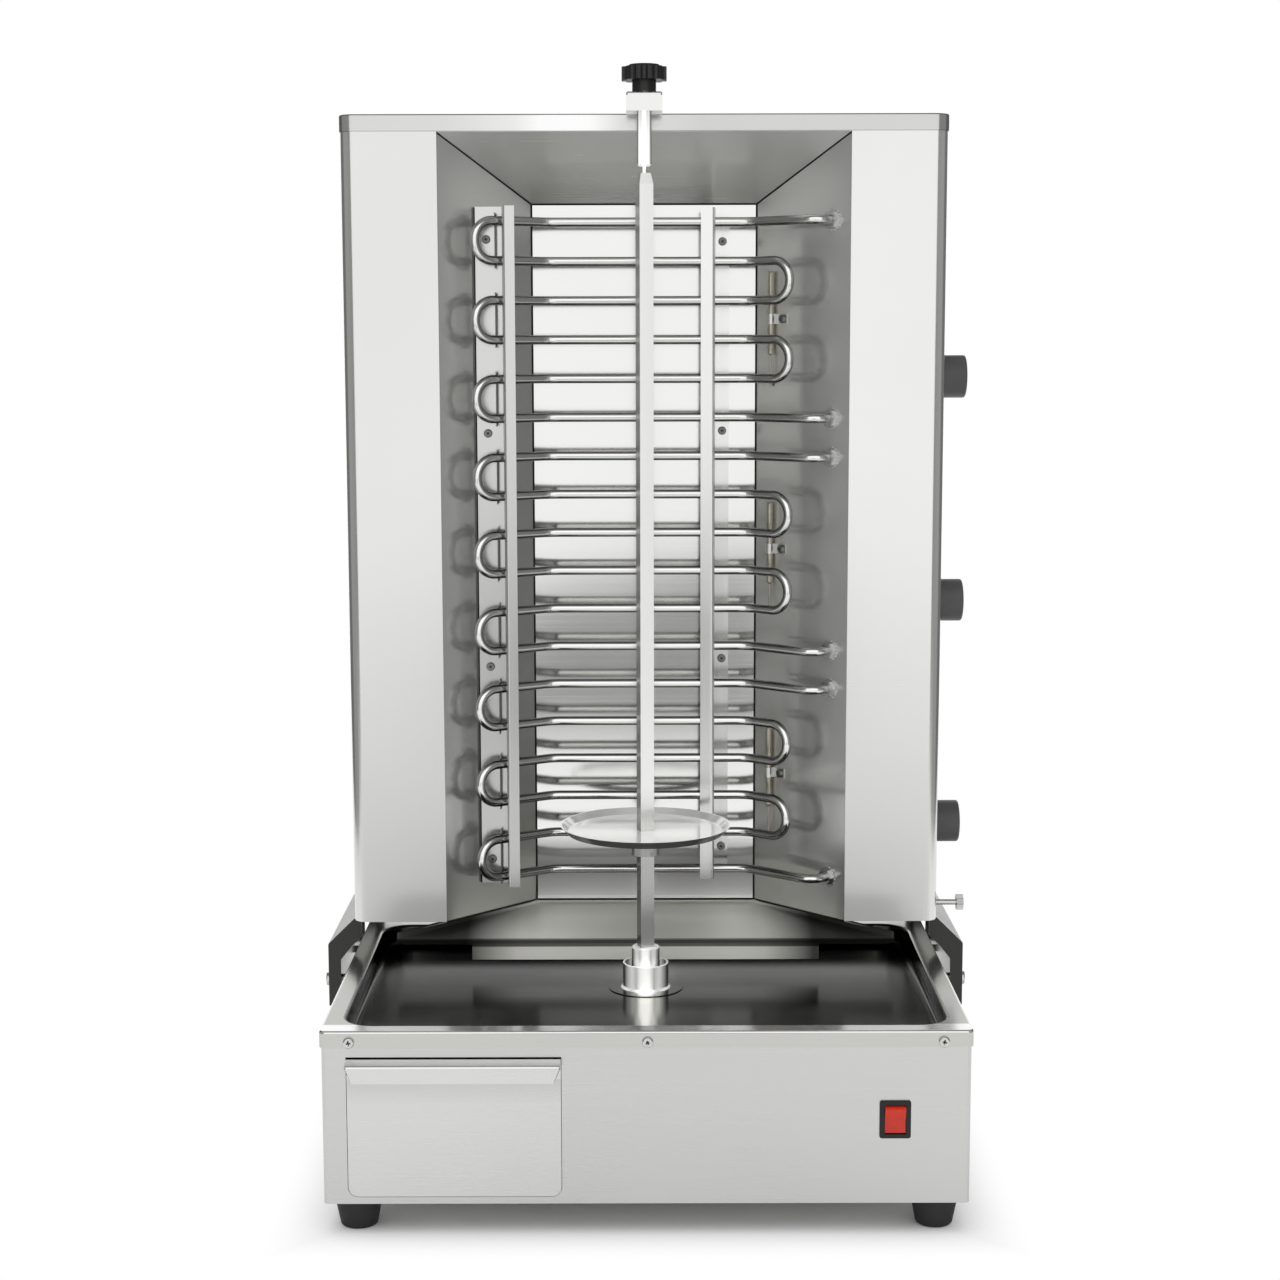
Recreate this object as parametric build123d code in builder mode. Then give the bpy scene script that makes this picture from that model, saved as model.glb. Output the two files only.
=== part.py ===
# Electric doner kebab grill: base with grease tray and drawer, driven spindle, and a casing whose
# open bay holds three heating elements. Millimetres, +Z up, the front faces -Y, the origin is on
# the floor under the middle of the base.
import os
from math import cos, sin, pi, radians, hypot

from build123d import *

os.makedirs("parts", exist_ok=True)

# Overall sizes
width = 520.0  # tray rim and casing, side to side
base_depth = 460.0  # tray rim, front to back
base_height = 142.8  # base underside to tray rim
foot_height = 26.5
casing_gap = 28.7  # tray rim to casing underside
casing_height = 704.3
casing_depth = 170.0
arm_reach = 28.5  # casing side to the outermost side hardware
lip_reach = 11.5  # tray rim to the drawer lip and to the cable gland
side_reach = width / 2 + arm_reach
front_reach = base_depth / 2 + lip_reach

# Sheet and clearances
sheet = 1.5
bend = 3.0
fit_gap = 0.3  # between faces of pieces that move past each other
running_gap = 0.05  # radial, shaft in bore
hole_gap = 0.2  # radial, screw in hole

# Base
base_corner = 4.0
return_depth = 14.0  # front and rear panels fold round the corners by this much
skirt_height = 13.6
base_face = base_depth / 2 - sheet  # Y of the base panels' outer faces
base_side = width / 2 - sheet  # X of the base panels' outer faces
rim_top = foot_height + base_height
panel_top = rim_top - sheet

# Feet
foot_top_diameter = 40.0
foot_bottom_diameter = 29.5
foot_edge_radius = 3.0
foot_inset_x = 25.0  # base side to foot axis
foot_inset_y = 27.0
foot_recess_diameter = 12.0
foot_recess_depth = 9.0

# Tray basin
rim_width = 17.5
front_rim_width = 17.0
basin_front = front_rim_width - base_depth / 2
basin_rear = 98.0
basin_depth = 20.3
basin_corner = 25.0
basin_floor_radius = 6.0
basin_floor = rim_top - basin_depth
ring_diameter = 65.0
ring_rise = 0.8
drain_diameter = 14.0
drain_x = -150.0
drain_y = -180.0

# Spindle drive
spindle_y = -37.0
spindle_square = 12.0
spindle_yaw = 17.0  # degrees, as the bar stands in the photograph
spindle_tip_z = 850.0
spindle_tip_height = 9.0
spindle_tip_flat = 8.5
pin_seat_diameter = 3.7
pin_seat_depth = 3.0
sleeve_diameter = 40.0
sleeve_wall = 2.0
sleeve_height = 22.8
weld_size = 1.8
socket_diameter = 24.5
socket_top_z = 186.0
socket_length = 50.0
socket_recess = 30.0
socket_play = 0.2
bush_height = 14.0
tray_bore_diameter = 30.0
shaft_diameter = 10.0
shaft_in_gearbox = 28.0
gearbox_size = (76.0, 60.0, 36.0)
gearbox_top_z = 119.5
motor_diameter = 60.0
motor_length = 42.0
motor_offset_x = 6.0
bracket_sheet = 2.0
bracket_span = 100.0
bracket_flange = 15.0
bracket_depth = 56.0

# Meat plate
plate_diameter = 148.0
plate_floor_diameter = 136.0
plate_rim_height = 6.5
plate_sheet = 1.5
plate_top_z = 289.5
bar_play = 0.1
collar_diameter = 24.0
collar_height = 20.0
collar_screw_diameter = 5.0

# Drawer
drawer_side_gap = 21.5  # base side to the drawer's left edge
drawer_left = drawer_side_gap - width / 2
drawer_right = -68.0
drawer_bottom_z = 32.5
drawer_top_z = 147.3
drawer_corner = 8.0
drawer_edge_gap = 0.45
pan_depth = 290.0
pan_bottom_z = 38.0
pan_top_z = 117.5
pan_inset = 8.0
pan_sheet = 1.2
pan_corner = 6.0
runner_ledge = 12.0
runner_height = 30.0
lip_face_height = 14.0
lip_drop = 3.2
lip_end_slant = 5.5

# Rocker switch
rocker_x = 198.1
rocker_z = 96.0
bezel_width = 25.0
bezel_height = 31.0
bezel_thickness = 2.0
bezel_body_width = 21.5
bezel_body_height = 27.0
bezel_body_depth = 22.0
button_width = 16.6
button_radius = 11.6
button_pivot_depth = 4.5  # bezel face to the button's pivot
button_crown = 3.6
button_angle = 10.0

# Casing
bay_half_width = 177.0  # opening at the front
bay_rear_half_width = 99.0
bay_depth = 84.0
bay_ceiling_rear_z = 830.5
cap_height = 14.4
cap_overhang = 1.0
casing_corner = 12.0
wall_flange = 20.0
ceiling_flange = 12.0
casing_bottom = rim_top + casing_gap
casing_top = casing_bottom + casing_height
cap_seam = casing_top - cap_height

# Drip plate under the bay
drip_front_y = 5.0
drip_front_drop = 18.0  # casing underside to the plate's front edge
drip_front_half_width = 222.0
drip_hem = 7.0
drip_lip = 4.0  # the front edge's fold downwards
drip_apron = 18.0  # the deeper fold in the middle of the front edge
drip_apron_half_width = 155.0

# Heating elements
tube_diameter = 8.0
row_pitch = 34.08
top_row_z = 814.1
rows_per_element = 6
row_y = 50.0
row_left = -84.0
row_right = 92.0
left_turn = (-146.0, 8.0)
right_turn = (126.0, 21.5)
bend_radius = 25.0
entry_bend = 14.0
entry_run = 20.0  # straight stretch square to the wall
entry_y = 16.3
entry_depth = 22.0  # terminal behind the wall
nut_diameter = 17.0
nut_across = 13.0
nut_height = 5.0

# Element supports
support_top_z = 826.5
support_length = 600.0
support_sheet = 1.5
left_web_x = -121.5
left_strip_y = 30.5
left_lip_y = 12.5
left_lip_width = 9.5
right_web_x = 60.9
right_lip_width = 11.3
right_lip_gap = 2.0  # tube to bar
right_flange = 15.0
support_screw_heights = (798.5, 630.5, 423.5, 248.5)
clip_wire = 1.8
clip_x = -129.0
clip_reach = 6.0

# Thermostats
knob_heights = (480.5, 278.5, 73.5)  # above the casing underside
knob_y = 82.0
knob_diameter = 38.0
knob_dome = 2.0
thermostat_shaft = 6.0
thermostat_size = (34.0, 40.0, 40.0)
bulb_diameter = 5.0
bulb_length = 74.0
bulb_y = 66.8
bulb_standoff = 4.0
capillary_diameter = 1.5

# Side arms and rails
arm_sheet = 2.0
arm_front_y = 13.0
arm_rear_y = 192.0
arm_bottom_z = 117.5
arm_shoulder_z = 174.5
arm_flange = 24.0
arm_bolt_head = 3.5
rail_front_y = -40.0
rail_rear_gap = 4.0  # tray rim to the rail's end
rail_rear_y = base_depth / 2 - rail_rear_gap
rail_z = 139.0
rail_inside = 12.0
rail_reach = 11.5
rail_bolt_z = 150.7
roller_width = 8.0
arm_bolt_y = (25.0, 155.0)
arm_bolt_diameter = 6.0

# Thumb screw
thumb_y = 33.0
thumb_z = 207.0
thumb_head_diameter = 14.0
thumb_head_length = 6.0
thumb_screw_diameter = 5.0
thumb_reach = 27.0  # casing side to the head's outer end

# Top bearing
arm_width = 30.0
arm_height = 12.6
arm_nose_y = -54.0
arm_tail_y = 158.0
arm_wall = 2.0
arm_nose_block = 34.0
arm_nose_drop = 3.0  # the nose block hangs lower than the arm, in front of the cap
arm_slot_screw_y = (100.0, 146.0)
casing_travel = 60.0
clamp_screw_diameter = 12.0
clamp_screw_bottom_z = 855.5
clamp_pin_diameter = 3.5
clamp_knob_neck_diameter = 20.0
clamp_knob_neck_height = 9.0
clamp_knob_diameter = 38.0
clamp_knob_height = 11.0
clamp_knob_flutes = 12
clamp_knob_top_z = 938.5

# Base screws: pan heads on the tray skirt and in the feet
pan_head_diameter = 9.0
pan_head_height = 3.2
base_screw_diameter = 5.0
skirt_screw_x = (-236.0, 1.0, 236.0)
skirt_screw_length = 12.0


def folded_section(points, thickness=sheet, radius=bend, side=Side.LEFT):
    """The cross section of a folded sheet: its face line with rounded bends, one sheet thick."""
    with BuildSketch() as section:
        with BuildLine():
            face_line = FilletPolyline(*points, radius=radius)
            offset(face_line, amount=thickness, side=side)
        make_face()
    return section.sketch


def save(builder, name):
    """Label a finished piece and write it as its own node."""
    builder.part.label = name
    export_step(builder.part, f"parts/{name}.step")
    print(name, round(builder.part.volume))


def both_sides(x):
    return (-x, x)


def pan_head_screw(length, shank=base_screw_diameter, head=pan_head_diameter, head_height=pan_head_height):
    """A cross-recessed pan-head screw: the head stands on the XY plane, the shank points down."""
    cross = (0.52 * head, 0.13 * head, 0.8 * head_height)
    with BuildPart() as screw:
        Cylinder(head / 2, head_height, align=(Align.CENTER, Align.CENTER, Align.MIN))
        fillet(screw.edges().sort_by(Axis.Z)[-1], 0.5 * head_height)
        with Locations((0, 0, head_height)):
            Box(cross[0], cross[1], cross[2], mode=Mode.SUBTRACT)
            Box(cross[1], cross[0], cross[2], mode=Mode.SUBTRACT)
        Cylinder(shank / 2, length, align=(Align.CENTER, Align.CENTER, Align.MAX))
    return screw.part


def facing(x, y, z, direction):
    """A plane at a point whose normal points along direction; its own Y points up where it stands upright."""
    level = (-direction[1], direction[0], 0) if direction[2] == 0 else (1, 0, 0)
    return Plane(origin=(x, y, z), x_dir=level, z_dir=direction)


foot_x = base_side - foot_inset_x
foot_y = base_face - foot_inset_y
foot_places = [(x, y) for x in both_sides(foot_x) for y in both_sides(foot_y)]
skirt_screw_z = rim_top - 0.65 * skirt_height
skirt_screw_radius = base_screw_diameter / 2 + hole_gap
gland_x = 150.0
gland_z = 57.5
gland_thread = 16.0
gland_bore = 8.4
gland_length_inside = 14.0
gland_nut_radius = 13.0
gland_nut = 4.5
gland_radius = 10.0
gland_dome = 3.5
floor_flange = 10.0
drawer_x = (drawer_left + drawer_right) / 2
drawer_z = (drawer_bottom_z + drawer_top_z) / 2
drawer_width = drawer_right - drawer_left
drawer_height = drawer_top_z - drawer_bottom_z
arm_bolt_x = side_reach - arm_bolt_head  # outer face of the side arms
inner_side = base_side - sheet
inner_face = base_face - sheet

# Base front panel: folded round the corners, with the drawer opening and the switch cut-out
with BuildPart() as base_front_panel:
    with BuildSketch(Plane.XY.offset(foot_height)):
        RectangleRounded(2 * base_side, 2 * base_face, base_corner)
        RectangleRounded(2 * inner_side, 2 * inner_face, base_corner - sheet, mode=Mode.SUBTRACT)
        with Locations((0, return_depth)):
            Rectangle(width, 2 * base_face, mode=Mode.SUBTRACT)
    extrude(amount=panel_top - foot_height)
    with BuildSketch(Plane.XZ.offset(base_face)) as front_cuts:
        with Locations((drawer_x, drawer_z)):
            Rectangle(drawer_width + 2 * drawer_edge_gap, drawer_height + 2 * drawer_edge_gap)
        fillet(front_cuts.vertices().group_by(Axis.Y)[0], drawer_corner + drawer_edge_gap)
        with Locations((rocker_x, rocker_z)):
            Rectangle(bezel_body_width + 2 * hole_gap, bezel_body_height + 2 * hole_gap)
        with Locations([(x, skirt_screw_z) for x in skirt_screw_x]):
            Circle(skirt_screw_radius)
    extrude(amount=-2 * sheet, mode=Mode.SUBTRACT)
save(base_front_panel, "base_front_panel")

# Base rear panel: the same fold, with the cable gland's hole
with BuildPart() as base_rear_panel:
    with BuildSketch(Plane.XY.offset(foot_height)):
        RectangleRounded(2 * base_side, 2 * base_face, base_corner)
        RectangleRounded(2 * inner_side, 2 * inner_face, base_corner - sheet, mode=Mode.SUBTRACT)
        with Locations((0, -return_depth)):
            Rectangle(width, 2 * base_face, mode=Mode.SUBTRACT)
    extrude(amount=panel_top - foot_height)
    with BuildSketch(Plane.XZ.offset(-inner_face)):
        with Locations((gland_x, gland_z)):
            Circle(gland_thread / 2 + hole_gap)
        with Locations([(x, skirt_screw_z) for x in skirt_screw_x]):
            Circle(skirt_screw_radius)
    extrude(amount=-2 * sheet, mode=Mode.SUBTRACT)
save(base_rear_panel, "base_rear_panel")

# Base side panels: plates between the folded ends, drilled for the rail bolts
rail_bolt_first = rail_front_y + 17.0
rail_bolt_second = rail_bolt_first + 40.0
rail_bolt_last = rail_rear_y - 22.0
rail_bolt_pitch = (rail_bolt_last - rail_bolt_second) / 4
rail_bolt_y = (rail_bolt_first, *[rail_bolt_second + step * rail_bolt_pitch for step in range(5)])
rail_bolt_diameter = 4.0
rail_bolt_radius = rail_bolt_diameter / 2 + hole_gap
side_panel_depth = 2 * (base_face - return_depth - fit_gap)
with BuildPart() as base_side_panels:
    for side in (-1, 1):
        with BuildSketch(Plane.YZ.offset(side * (inner_side + base_side) / 2)):
            with Locations((0, (foot_height + panel_top) / 2)):
                Rectangle(side_panel_depth, panel_top - foot_height)
            with Locations([(y, rail_bolt_z) for y in rail_bolt_y]):
                Circle(rail_bolt_radius, mode=Mode.SUBTRACT)
        extrude(amount=sheet / 2, both=True)
save(base_side_panels, "base_side_panels")

# Base floor plate: a shallow pan inside the panels
with BuildPart() as base_floor_plate:
    with BuildSketch(Plane.XY.offset(foot_height)):
        RectangleRounded(2 * inner_side, 2 * inner_face, base_corner - sheet)
    extrude(amount=floor_flange)
    with BuildSketch(Plane.XY.offset(foot_height + sheet)):
        Rectangle(2 * (inner_side - sheet), 2 * (inner_face - sheet))
    extrude(amount=floor_flange, mode=Mode.SUBTRACT)
    with BuildSketch(Plane.XY.offset(foot_height)):
        with Locations(foot_places):
            Circle(base_screw_diameter / 2 + hole_gap)
    extrude(amount=sheet, mode=Mode.SUBTRACT)
save(base_floor_plate, "base_floor_plate")

# Feet: tapered rubber with a recess for the screw
with BuildPart() as feet:
    with Locations([(x, y, foot_height / 2) for x, y in foot_places]):
        Cone(foot_bottom_diameter / 2, foot_top_diameter / 2, foot_height)
    fillet(feet.edges().group_by(Axis.Z)[0], foot_edge_radius)
    with BuildSketch():
        with Locations(foot_places):
            Circle(foot_recess_diameter / 2)
    extrude(amount=foot_recess_depth, mode=Mode.SUBTRACT)
    with BuildSketch():
        with Locations(foot_places):
            Circle(base_screw_diameter / 2 + hole_gap)
    extrude(amount=foot_height, mode=Mode.SUBTRACT)
save(feet, "feet")

# Base screws: the tray skirt's front and rear rows, and one up through each foot
foot_screw = pan_head_screw(foot_height - foot_recess_depth + sheet + 6.0)
skirt_screw = pan_head_screw(skirt_screw_length)
with BuildPart() as base_screws:
    with Locations([facing(x, -base_depth / 2, skirt_screw_z, (0, -1, 0)) for x in skirt_screw_x]):
        add(skirt_screw)
    with Locations([facing(x, base_depth / 2, skirt_screw_z, (0, 1, 0)) for x in skirt_screw_x]):
        add(skirt_screw)
    with Locations([facing(x, y, foot_recess_depth, (0, 0, -1)) for x, y in foot_places]):
        add(foot_screw)
save(base_screws, "base_screws")

# Drip tray: rim and skirt over the panels, a basin in front, a raised ring round the hub
basin_y = (basin_front + basin_rear) / 2
basin_width = width - 2 * rim_width
basin_length = basin_rear - basin_front
rim_edge_radius = 2.5
skirt_bend = 2.2  # outer radius where the rim folds down into the skirt


def basin_block(grow):
    """The basin's hollow, or with a sheet added all round its outer form."""
    with BuildPart() as block:
        with BuildSketch(Plane.XY.offset(rim_top)):
            with Locations((0, basin_y)):
                RectangleRounded(basin_width + 2 * grow, basin_length + 2 * grow, basin_corner + grow)
        extrude(amount=-(basin_depth + grow))
        fillet(block.edges().group_by(Axis.Z)[0], basin_floor_radius + grow)
    return block.part


with BuildPart() as drip_tray:
    with BuildSketch(Plane.XY.offset(rim_top - skirt_height)):
        RectangleRounded(width, base_depth, base_corner + sheet)
    extrude(amount=skirt_height)
    with BuildSketch(Plane.XY.offset(rim_top - skirt_height)):
        RectangleRounded(2 * base_side, 2 * base_face, base_corner)
    extrude(amount=skirt_height - sheet, mode=Mode.SUBTRACT)
    add(basin_block(sheet))
    add(basin_block(0), mode=Mode.SUBTRACT)
    rim_face = drip_tray.faces().filter_by(Plane.XY).sort_by(Axis.Z)[-1]
    fillet(rim_face.outer_wire().edges(), skirt_bend)
    rim_face = drip_tray.faces().filter_by(Plane.XY).sort_by(Axis.Z)[-1]
    fillet(rim_face.inner_wires()[0].edges(), rim_edge_radius)
    with Locations((0, spindle_y, basin_floor)):
        Cylinder(ring_diameter / 2, ring_rise, align=(Align.CENTER, Align.CENTER, Align.MIN))
        Cylinder(tray_bore_diameter / 2, 4 * sheet, mode=Mode.SUBTRACT)
    with Locations((drain_x, drain_y, basin_floor)):
        Cylinder(drain_diameter / 2, 4 * sheet, mode=Mode.SUBTRACT)
    with Locations([facing(x, y, skirt_screw_z, (0, 1, 0)) for x in skirt_screw_x
                    for y in both_sides(base_depth / 2)]):
        Cylinder(skirt_screw_radius, 4 * sheet, mode=Mode.SUBTRACT)
save(drip_tray, "drip_tray")

# Hub sleeve: thin tube with a weld bead at its foot, round the driven socket
sleeve_foot = basin_floor + ring_rise
sleeve_top = basin_floor + sleeve_height
sleeve_bore = sleeve_diameter / 2 - sleeve_wall
spindle_axis = Axis((0, spindle_y, 0), (0, 0, 1))
spindle_plane = Plane(origin=(0, spindle_y, 0), x_dir=(1, 0, 0), z_dir=(0, -1, 0))
with BuildPart() as hub_sleeve:
    with BuildSketch(spindle_plane):
        with BuildLine():
            Polyline(
                (sleeve_bore, sleeve_foot),
                (sleeve_diameter / 2 + weld_size, sleeve_foot),
                (sleeve_diameter / 2, sleeve_foot + weld_size),
                (sleeve_diameter / 2, sleeve_top),
                (sleeve_bore, sleeve_top),
                close=True,
            )
        make_face()
    revolve(axis=spindle_axis)
    fillet(hub_sleeve.edges().group_by(Axis.Z)[-1], 0.3 * sleeve_wall)
save(hub_sleeve, "hub_sleeve")

# Hub bush: the plain bearing that the socket turns in
with BuildPart() as hub_bush:
    with BuildSketch(Plane.XY.offset(sleeve_foot)):
        with Locations((0, spindle_y)):
            Circle(sleeve_bore - running_gap)
            Circle(socket_diameter / 2 + running_gap, mode=Mode.SUBTRACT)
    extrude(amount=bush_height)
save(hub_bush, "hub_bush")

# Drive socket: square recess above for the bar, round bore below for the gearbox shaft
socket_bottom = socket_top_z - socket_length
recess_floor = socket_top_z - socket_recess
with BuildPart() as drive_socket:
    with BuildSketch(Plane.XY.offset(socket_bottom)):
        with Locations((0, spindle_y)):
            Circle(socket_diameter / 2)
    extrude(amount=socket_length)
    chamfer(drive_socket.edges().group_by(Axis.Z)[-1], 1.0)
    with BuildSketch(Plane.XY.offset(socket_top_z)):
        with Locations((0, spindle_y)):
            Rectangle(spindle_square + 2 * socket_play, spindle_square + 2 * socket_play, rotation=spindle_yaw)
    extrude(amount=-socket_recess, mode=Mode.SUBTRACT)
    with BuildSketch(Plane.XY.offset(socket_bottom)):
        with Locations((0, spindle_y)):
            Circle(shaft_diameter / 2 + running_gap)
    extrude(amount=socket_length - socket_recess - sheet, mode=Mode.SUBTRACT)
save(drive_socket, "drive_socket")

# Drive shaft: from inside the gearbox up into the socket
shaft_bottom = gearbox_top_z - shaft_in_gearbox
with BuildPart() as drive_shaft:
    with BuildSketch(Plane.XY.offset(shaft_bottom)):
        with Locations((0, spindle_y)):
            Circle(shaft_diameter / 2)
    extrude(amount=recess_floor - sheet - fit_gap - shaft_bottom)
    chamfer(drive_shaft.edges().group_by(Axis.Z)[-1], 0.8)
save(drive_shaft, "drive_shaft")

# Spindle bar: square, with a pyramid point that holds the seat of the top pin
bar_bottom = recess_floor
with BuildPart() as spindle_bar:
    with BuildSketch(Plane.XY.offset(bar_bottom)):
        with Locations((0, spindle_y)):
            Rectangle(spindle_square, spindle_square, rotation=spindle_yaw)
    extrude(amount=spindle_tip_z - spindle_tip_height - bar_bottom)
    with BuildSketch(Plane.XY.offset(spindle_tip_z - spindle_tip_height)):
        with Locations((0, spindle_y)):
            Rectangle(spindle_square, spindle_square, rotation=spindle_yaw)
    with BuildSketch(Plane.XY.offset(spindle_tip_z)):
        with Locations((0, spindle_y)):
            Rectangle(spindle_tip_flat, spindle_tip_flat, rotation=spindle_yaw)
    loft()
    with BuildSketch(Plane.XY.offset(spindle_tip_z)):
        with Locations((0, spindle_y)):
            Circle(pin_seat_diameter / 2)
    extrude(amount=-pin_seat_depth, mode=Mode.SUBTRACT)
save(spindle_bar, "spindle_bar")

# Gearmotor under the tray: gearbox, motor can, and the bracket that hangs both from the tray
gearbox_height = gearbox_size[2]
gearbox_bottom = gearbox_top_z - gearbox_height
with BuildPart() as motor_gearbox:
    with BuildSketch(Plane.XY.offset(gearbox_bottom)):
        with Locations((motor_offset_x, spindle_y)):
            RectangleRounded(gearbox_size[0], gearbox_size[1], 6.0)
    extrude(amount=gearbox_height)
    fillet(motor_gearbox.edges().group_by(Axis.Z)[-1], 1.5)
    with Locations((0, spindle_y, gearbox_top_z)):
        Cylinder(shaft_diameter / 2 + running_gap, 2 * (shaft_in_gearbox + fit_gap), mode=Mode.SUBTRACT)
save(motor_gearbox, "motor_gearbox")

with BuildPart() as motor_can:
    with BuildSketch(Plane.XY.offset(gearbox_bottom)):
        with Locations((motor_offset_x, spindle_y)):
            Circle(motor_diameter / 2)
    extrude(amount=-motor_length)
    fillet(motor_can.edges().group_by(Axis.Z)[0], 4.0)
save(motor_can, "motor_can")

tray_underside = basin_floor - sheet
bracket_top = gearbox_top_z + bracket_sheet
bracket_points = [
    (-bracket_span / 2 - bracket_flange, tray_underside),
    (-bracket_span / 2, tray_underside),
    (-bracket_span / 2, bracket_top),
    (bracket_span / 2, bracket_top),
    (bracket_span / 2, tray_underside),
    (bracket_span / 2 + bracket_flange, tray_underside),
]
with BuildPart() as motor_bracket:
    with BuildSketch(Plane.XZ.offset(-spindle_y - bracket_depth / 2)):
        add(folded_section(bracket_points, bracket_sheet, bend, Side.RIGHT))
    extrude(amount=bracket_depth)
    with Locations((0, spindle_y, bracket_top)):
        Cylinder(shaft_diameter / 2 + 1.5, 4 * bracket_sheet, mode=Mode.SUBTRACT)
save(motor_bracket, "motor_bracket")

# Cable gland in the rear panel, and the terminal block behind it
gland_reach = front_reach - base_face
with BuildPart() as cable_gland:
    with BuildSketch(facing(gland_x, base_face, gland_z, (0, 1, 0))):
        RegularPolygon(gland_nut_radius, 6)
    extrude(amount=gland_nut)
    with BuildSketch(facing(gland_x, base_face, gland_z, (0, 1, 0))):
        Circle(gland_radius)
    extrude(amount=gland_reach)
    fillet(cable_gland.edges().group_by(Axis.Y)[-1], gland_dome)
    with BuildSketch(facing(gland_x, base_face, gland_z, (0, -1, 0))):
        Circle(gland_thread / 2)
    extrude(amount=gland_length_inside)
    with Locations(facing(gland_x, base_face, gland_z, (0, 1, 0))):
        Cylinder(gland_bore / 2, 4 * gland_reach, mode=Mode.SUBTRACT)
save(cable_gland, "cable_gland")

terminal_size = (48.0, 22.0, 20.0)
terminal_y = base_depth / 2 - 45.0
with BuildPart() as terminal_block:
    with Locations((gland_x, terminal_y, foot_height + sheet)):
        Box(*terminal_size, align=(Align.CENTER, Align.CENTER, Align.MIN))
    fillet(terminal_block.edges().filter_by(Axis.Z), 2.0)
    with Locations((gland_x, terminal_y, foot_height + sheet + terminal_size[2])):
        with GridLocations(terminal_size[0] / 4, 12.0, 4, 2):
            Hole(3.0, depth=8.0)
save(terminal_block, "terminal_block")

# Drawer front: one folded sheet, the plate below and the pull lip along its top
lip_top_z = drawer_top_z - lip_drop
drawer_section = [
    (-inner_face, drawer_bottom_z),
    (-inner_face, drawer_top_z),
    (-front_reach, lip_top_z),
    (-front_reach, lip_top_z - lip_face_height),
]
with BuildPart() as drawer_front:
    with BuildSketch(Plane.YZ.offset(drawer_left)):
        add(folded_section(drawer_section))
    extrude(amount=drawer_width)
    lower_corners = drawer_front.edges().filter_by(Axis.Y).group_by(Axis.Z)[0]
    fillet(lower_corners, drawer_corner)
    for side in (-1, 1):
        end_x = drawer_x + side * drawer_width / 2
        with BuildSketch(Plane.XZ.offset(base_face + sheet)):
            with BuildLine():
                Polyline(
                    (end_x, lip_top_z),
                    (end_x, lip_top_z - 2 * lip_face_height),
                    (end_x - side * 2 * lip_end_slant, lip_top_z - 2 * lip_face_height),
                    close=True,
                )
            make_face()
        extrude(amount=front_reach, mode=Mode.SUBTRACT)
save(drawer_front, "drawer_front")

# Drawer pan: an open grease pan behind the front
pan_width = drawer_width - 2 * pan_inset
pan_middle_y = pan_depth / 2 - inner_face
with BuildPart() as drawer_pan:
    with BuildSketch(Plane.XY.offset(pan_bottom_z)):
        with Locations((drawer_x, pan_middle_y)):
            RectangleRounded(pan_width, pan_depth, pan_corner)
    extrude(amount=pan_top_z - pan_bottom_z)
    with BuildSketch(Plane.XY.offset(pan_bottom_z + pan_sheet)):
        with Locations((drawer_x, pan_middle_y)):
            RectangleRounded(pan_width - 2 * pan_sheet, pan_depth - 2 * pan_sheet, pan_corner - pan_sheet)
    extrude(amount=pan_top_z - pan_bottom_z, mode=Mode.SUBTRACT)
save(drawer_pan, "drawer_pan")

# Drawer runners: ledges under the pan's edges, standing on the floor plate
floor_top = foot_height + sheet
ledge_top = pan_bottom_z - fit_gap
runner_start = -(inner_face - 2 * sheet)
runner_foot = 8.0
foot_screw_room = 3.5
with BuildPart() as drawer_runners:
    for side in (-1, 1):
        pan_side = drawer_x + side * (pan_width / 2 + fit_gap)
        with BuildSketch(Plane.XZ.offset(-runner_start)):
            with Locations((pan_side + side * sheet / 2, floor_top + runner_height / 2)):
                Rectangle(sheet, runner_height)
            with Locations((pan_side + side * (sheet - runner_ledge) / 2, ledge_top - sheet / 2)):
                Rectangle(runner_ledge + sheet, sheet)
            with Locations((pan_side + side * (sheet + runner_foot / 2), floor_top + sheet / 2)):
                Rectangle(runner_foot, sheet)
        extrude(amount=-pan_depth + 10.0)
    with Locations((-foot_x, -foot_y, floor_top)):
        Cylinder(foot_screw_room, 2 * runner_foot, mode=Mode.SUBTRACT)
save(drawer_runners, "drawer_runners")

# Rocker switch: a bezel snapped into the front panel and the button that tips in it
bezel_face = base_face + bezel_thickness
pivot_y = -(bezel_face - button_pivot_depth)
button_play = 0.3
stub_diameter = 3.0
stub_length = 1.3
button_back = 3.0
with BuildPart() as rocker_bezel:
    with BuildSketch(facing(rocker_x, -base_face, rocker_z, (0, -1, 0))):
        RectangleRounded(bezel_width, bezel_height, 2.0)
    extrude(amount=bezel_thickness)
    fillet(rocker_bezel.edges().group_by(Axis.Y)[0], 0.8)
    with BuildSketch(facing(rocker_x, -base_face, rocker_z, (0, 1, 0))):
        Rectangle(bezel_body_width, bezel_body_height)
    extrude(amount=bezel_body_depth)
    with BuildSketch(facing(rocker_x, -bezel_face, rocker_z, (0, 1, 0))):
        Rectangle(button_width + 2 * button_play, 2 * (button_radius + button_play))
    extrude(amount=button_pivot_depth + 2 * button_back, mode=Mode.SUBTRACT)
    with Locations(facing(rocker_x, pivot_y, rocker_z, (1, 0, 0))):
        Cylinder(stub_diameter / 2 + running_gap, button_width + 2 * (stub_length + fit_gap), mode=Mode.SUBTRACT)
save(rocker_bezel, "rocker_bezel")

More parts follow.
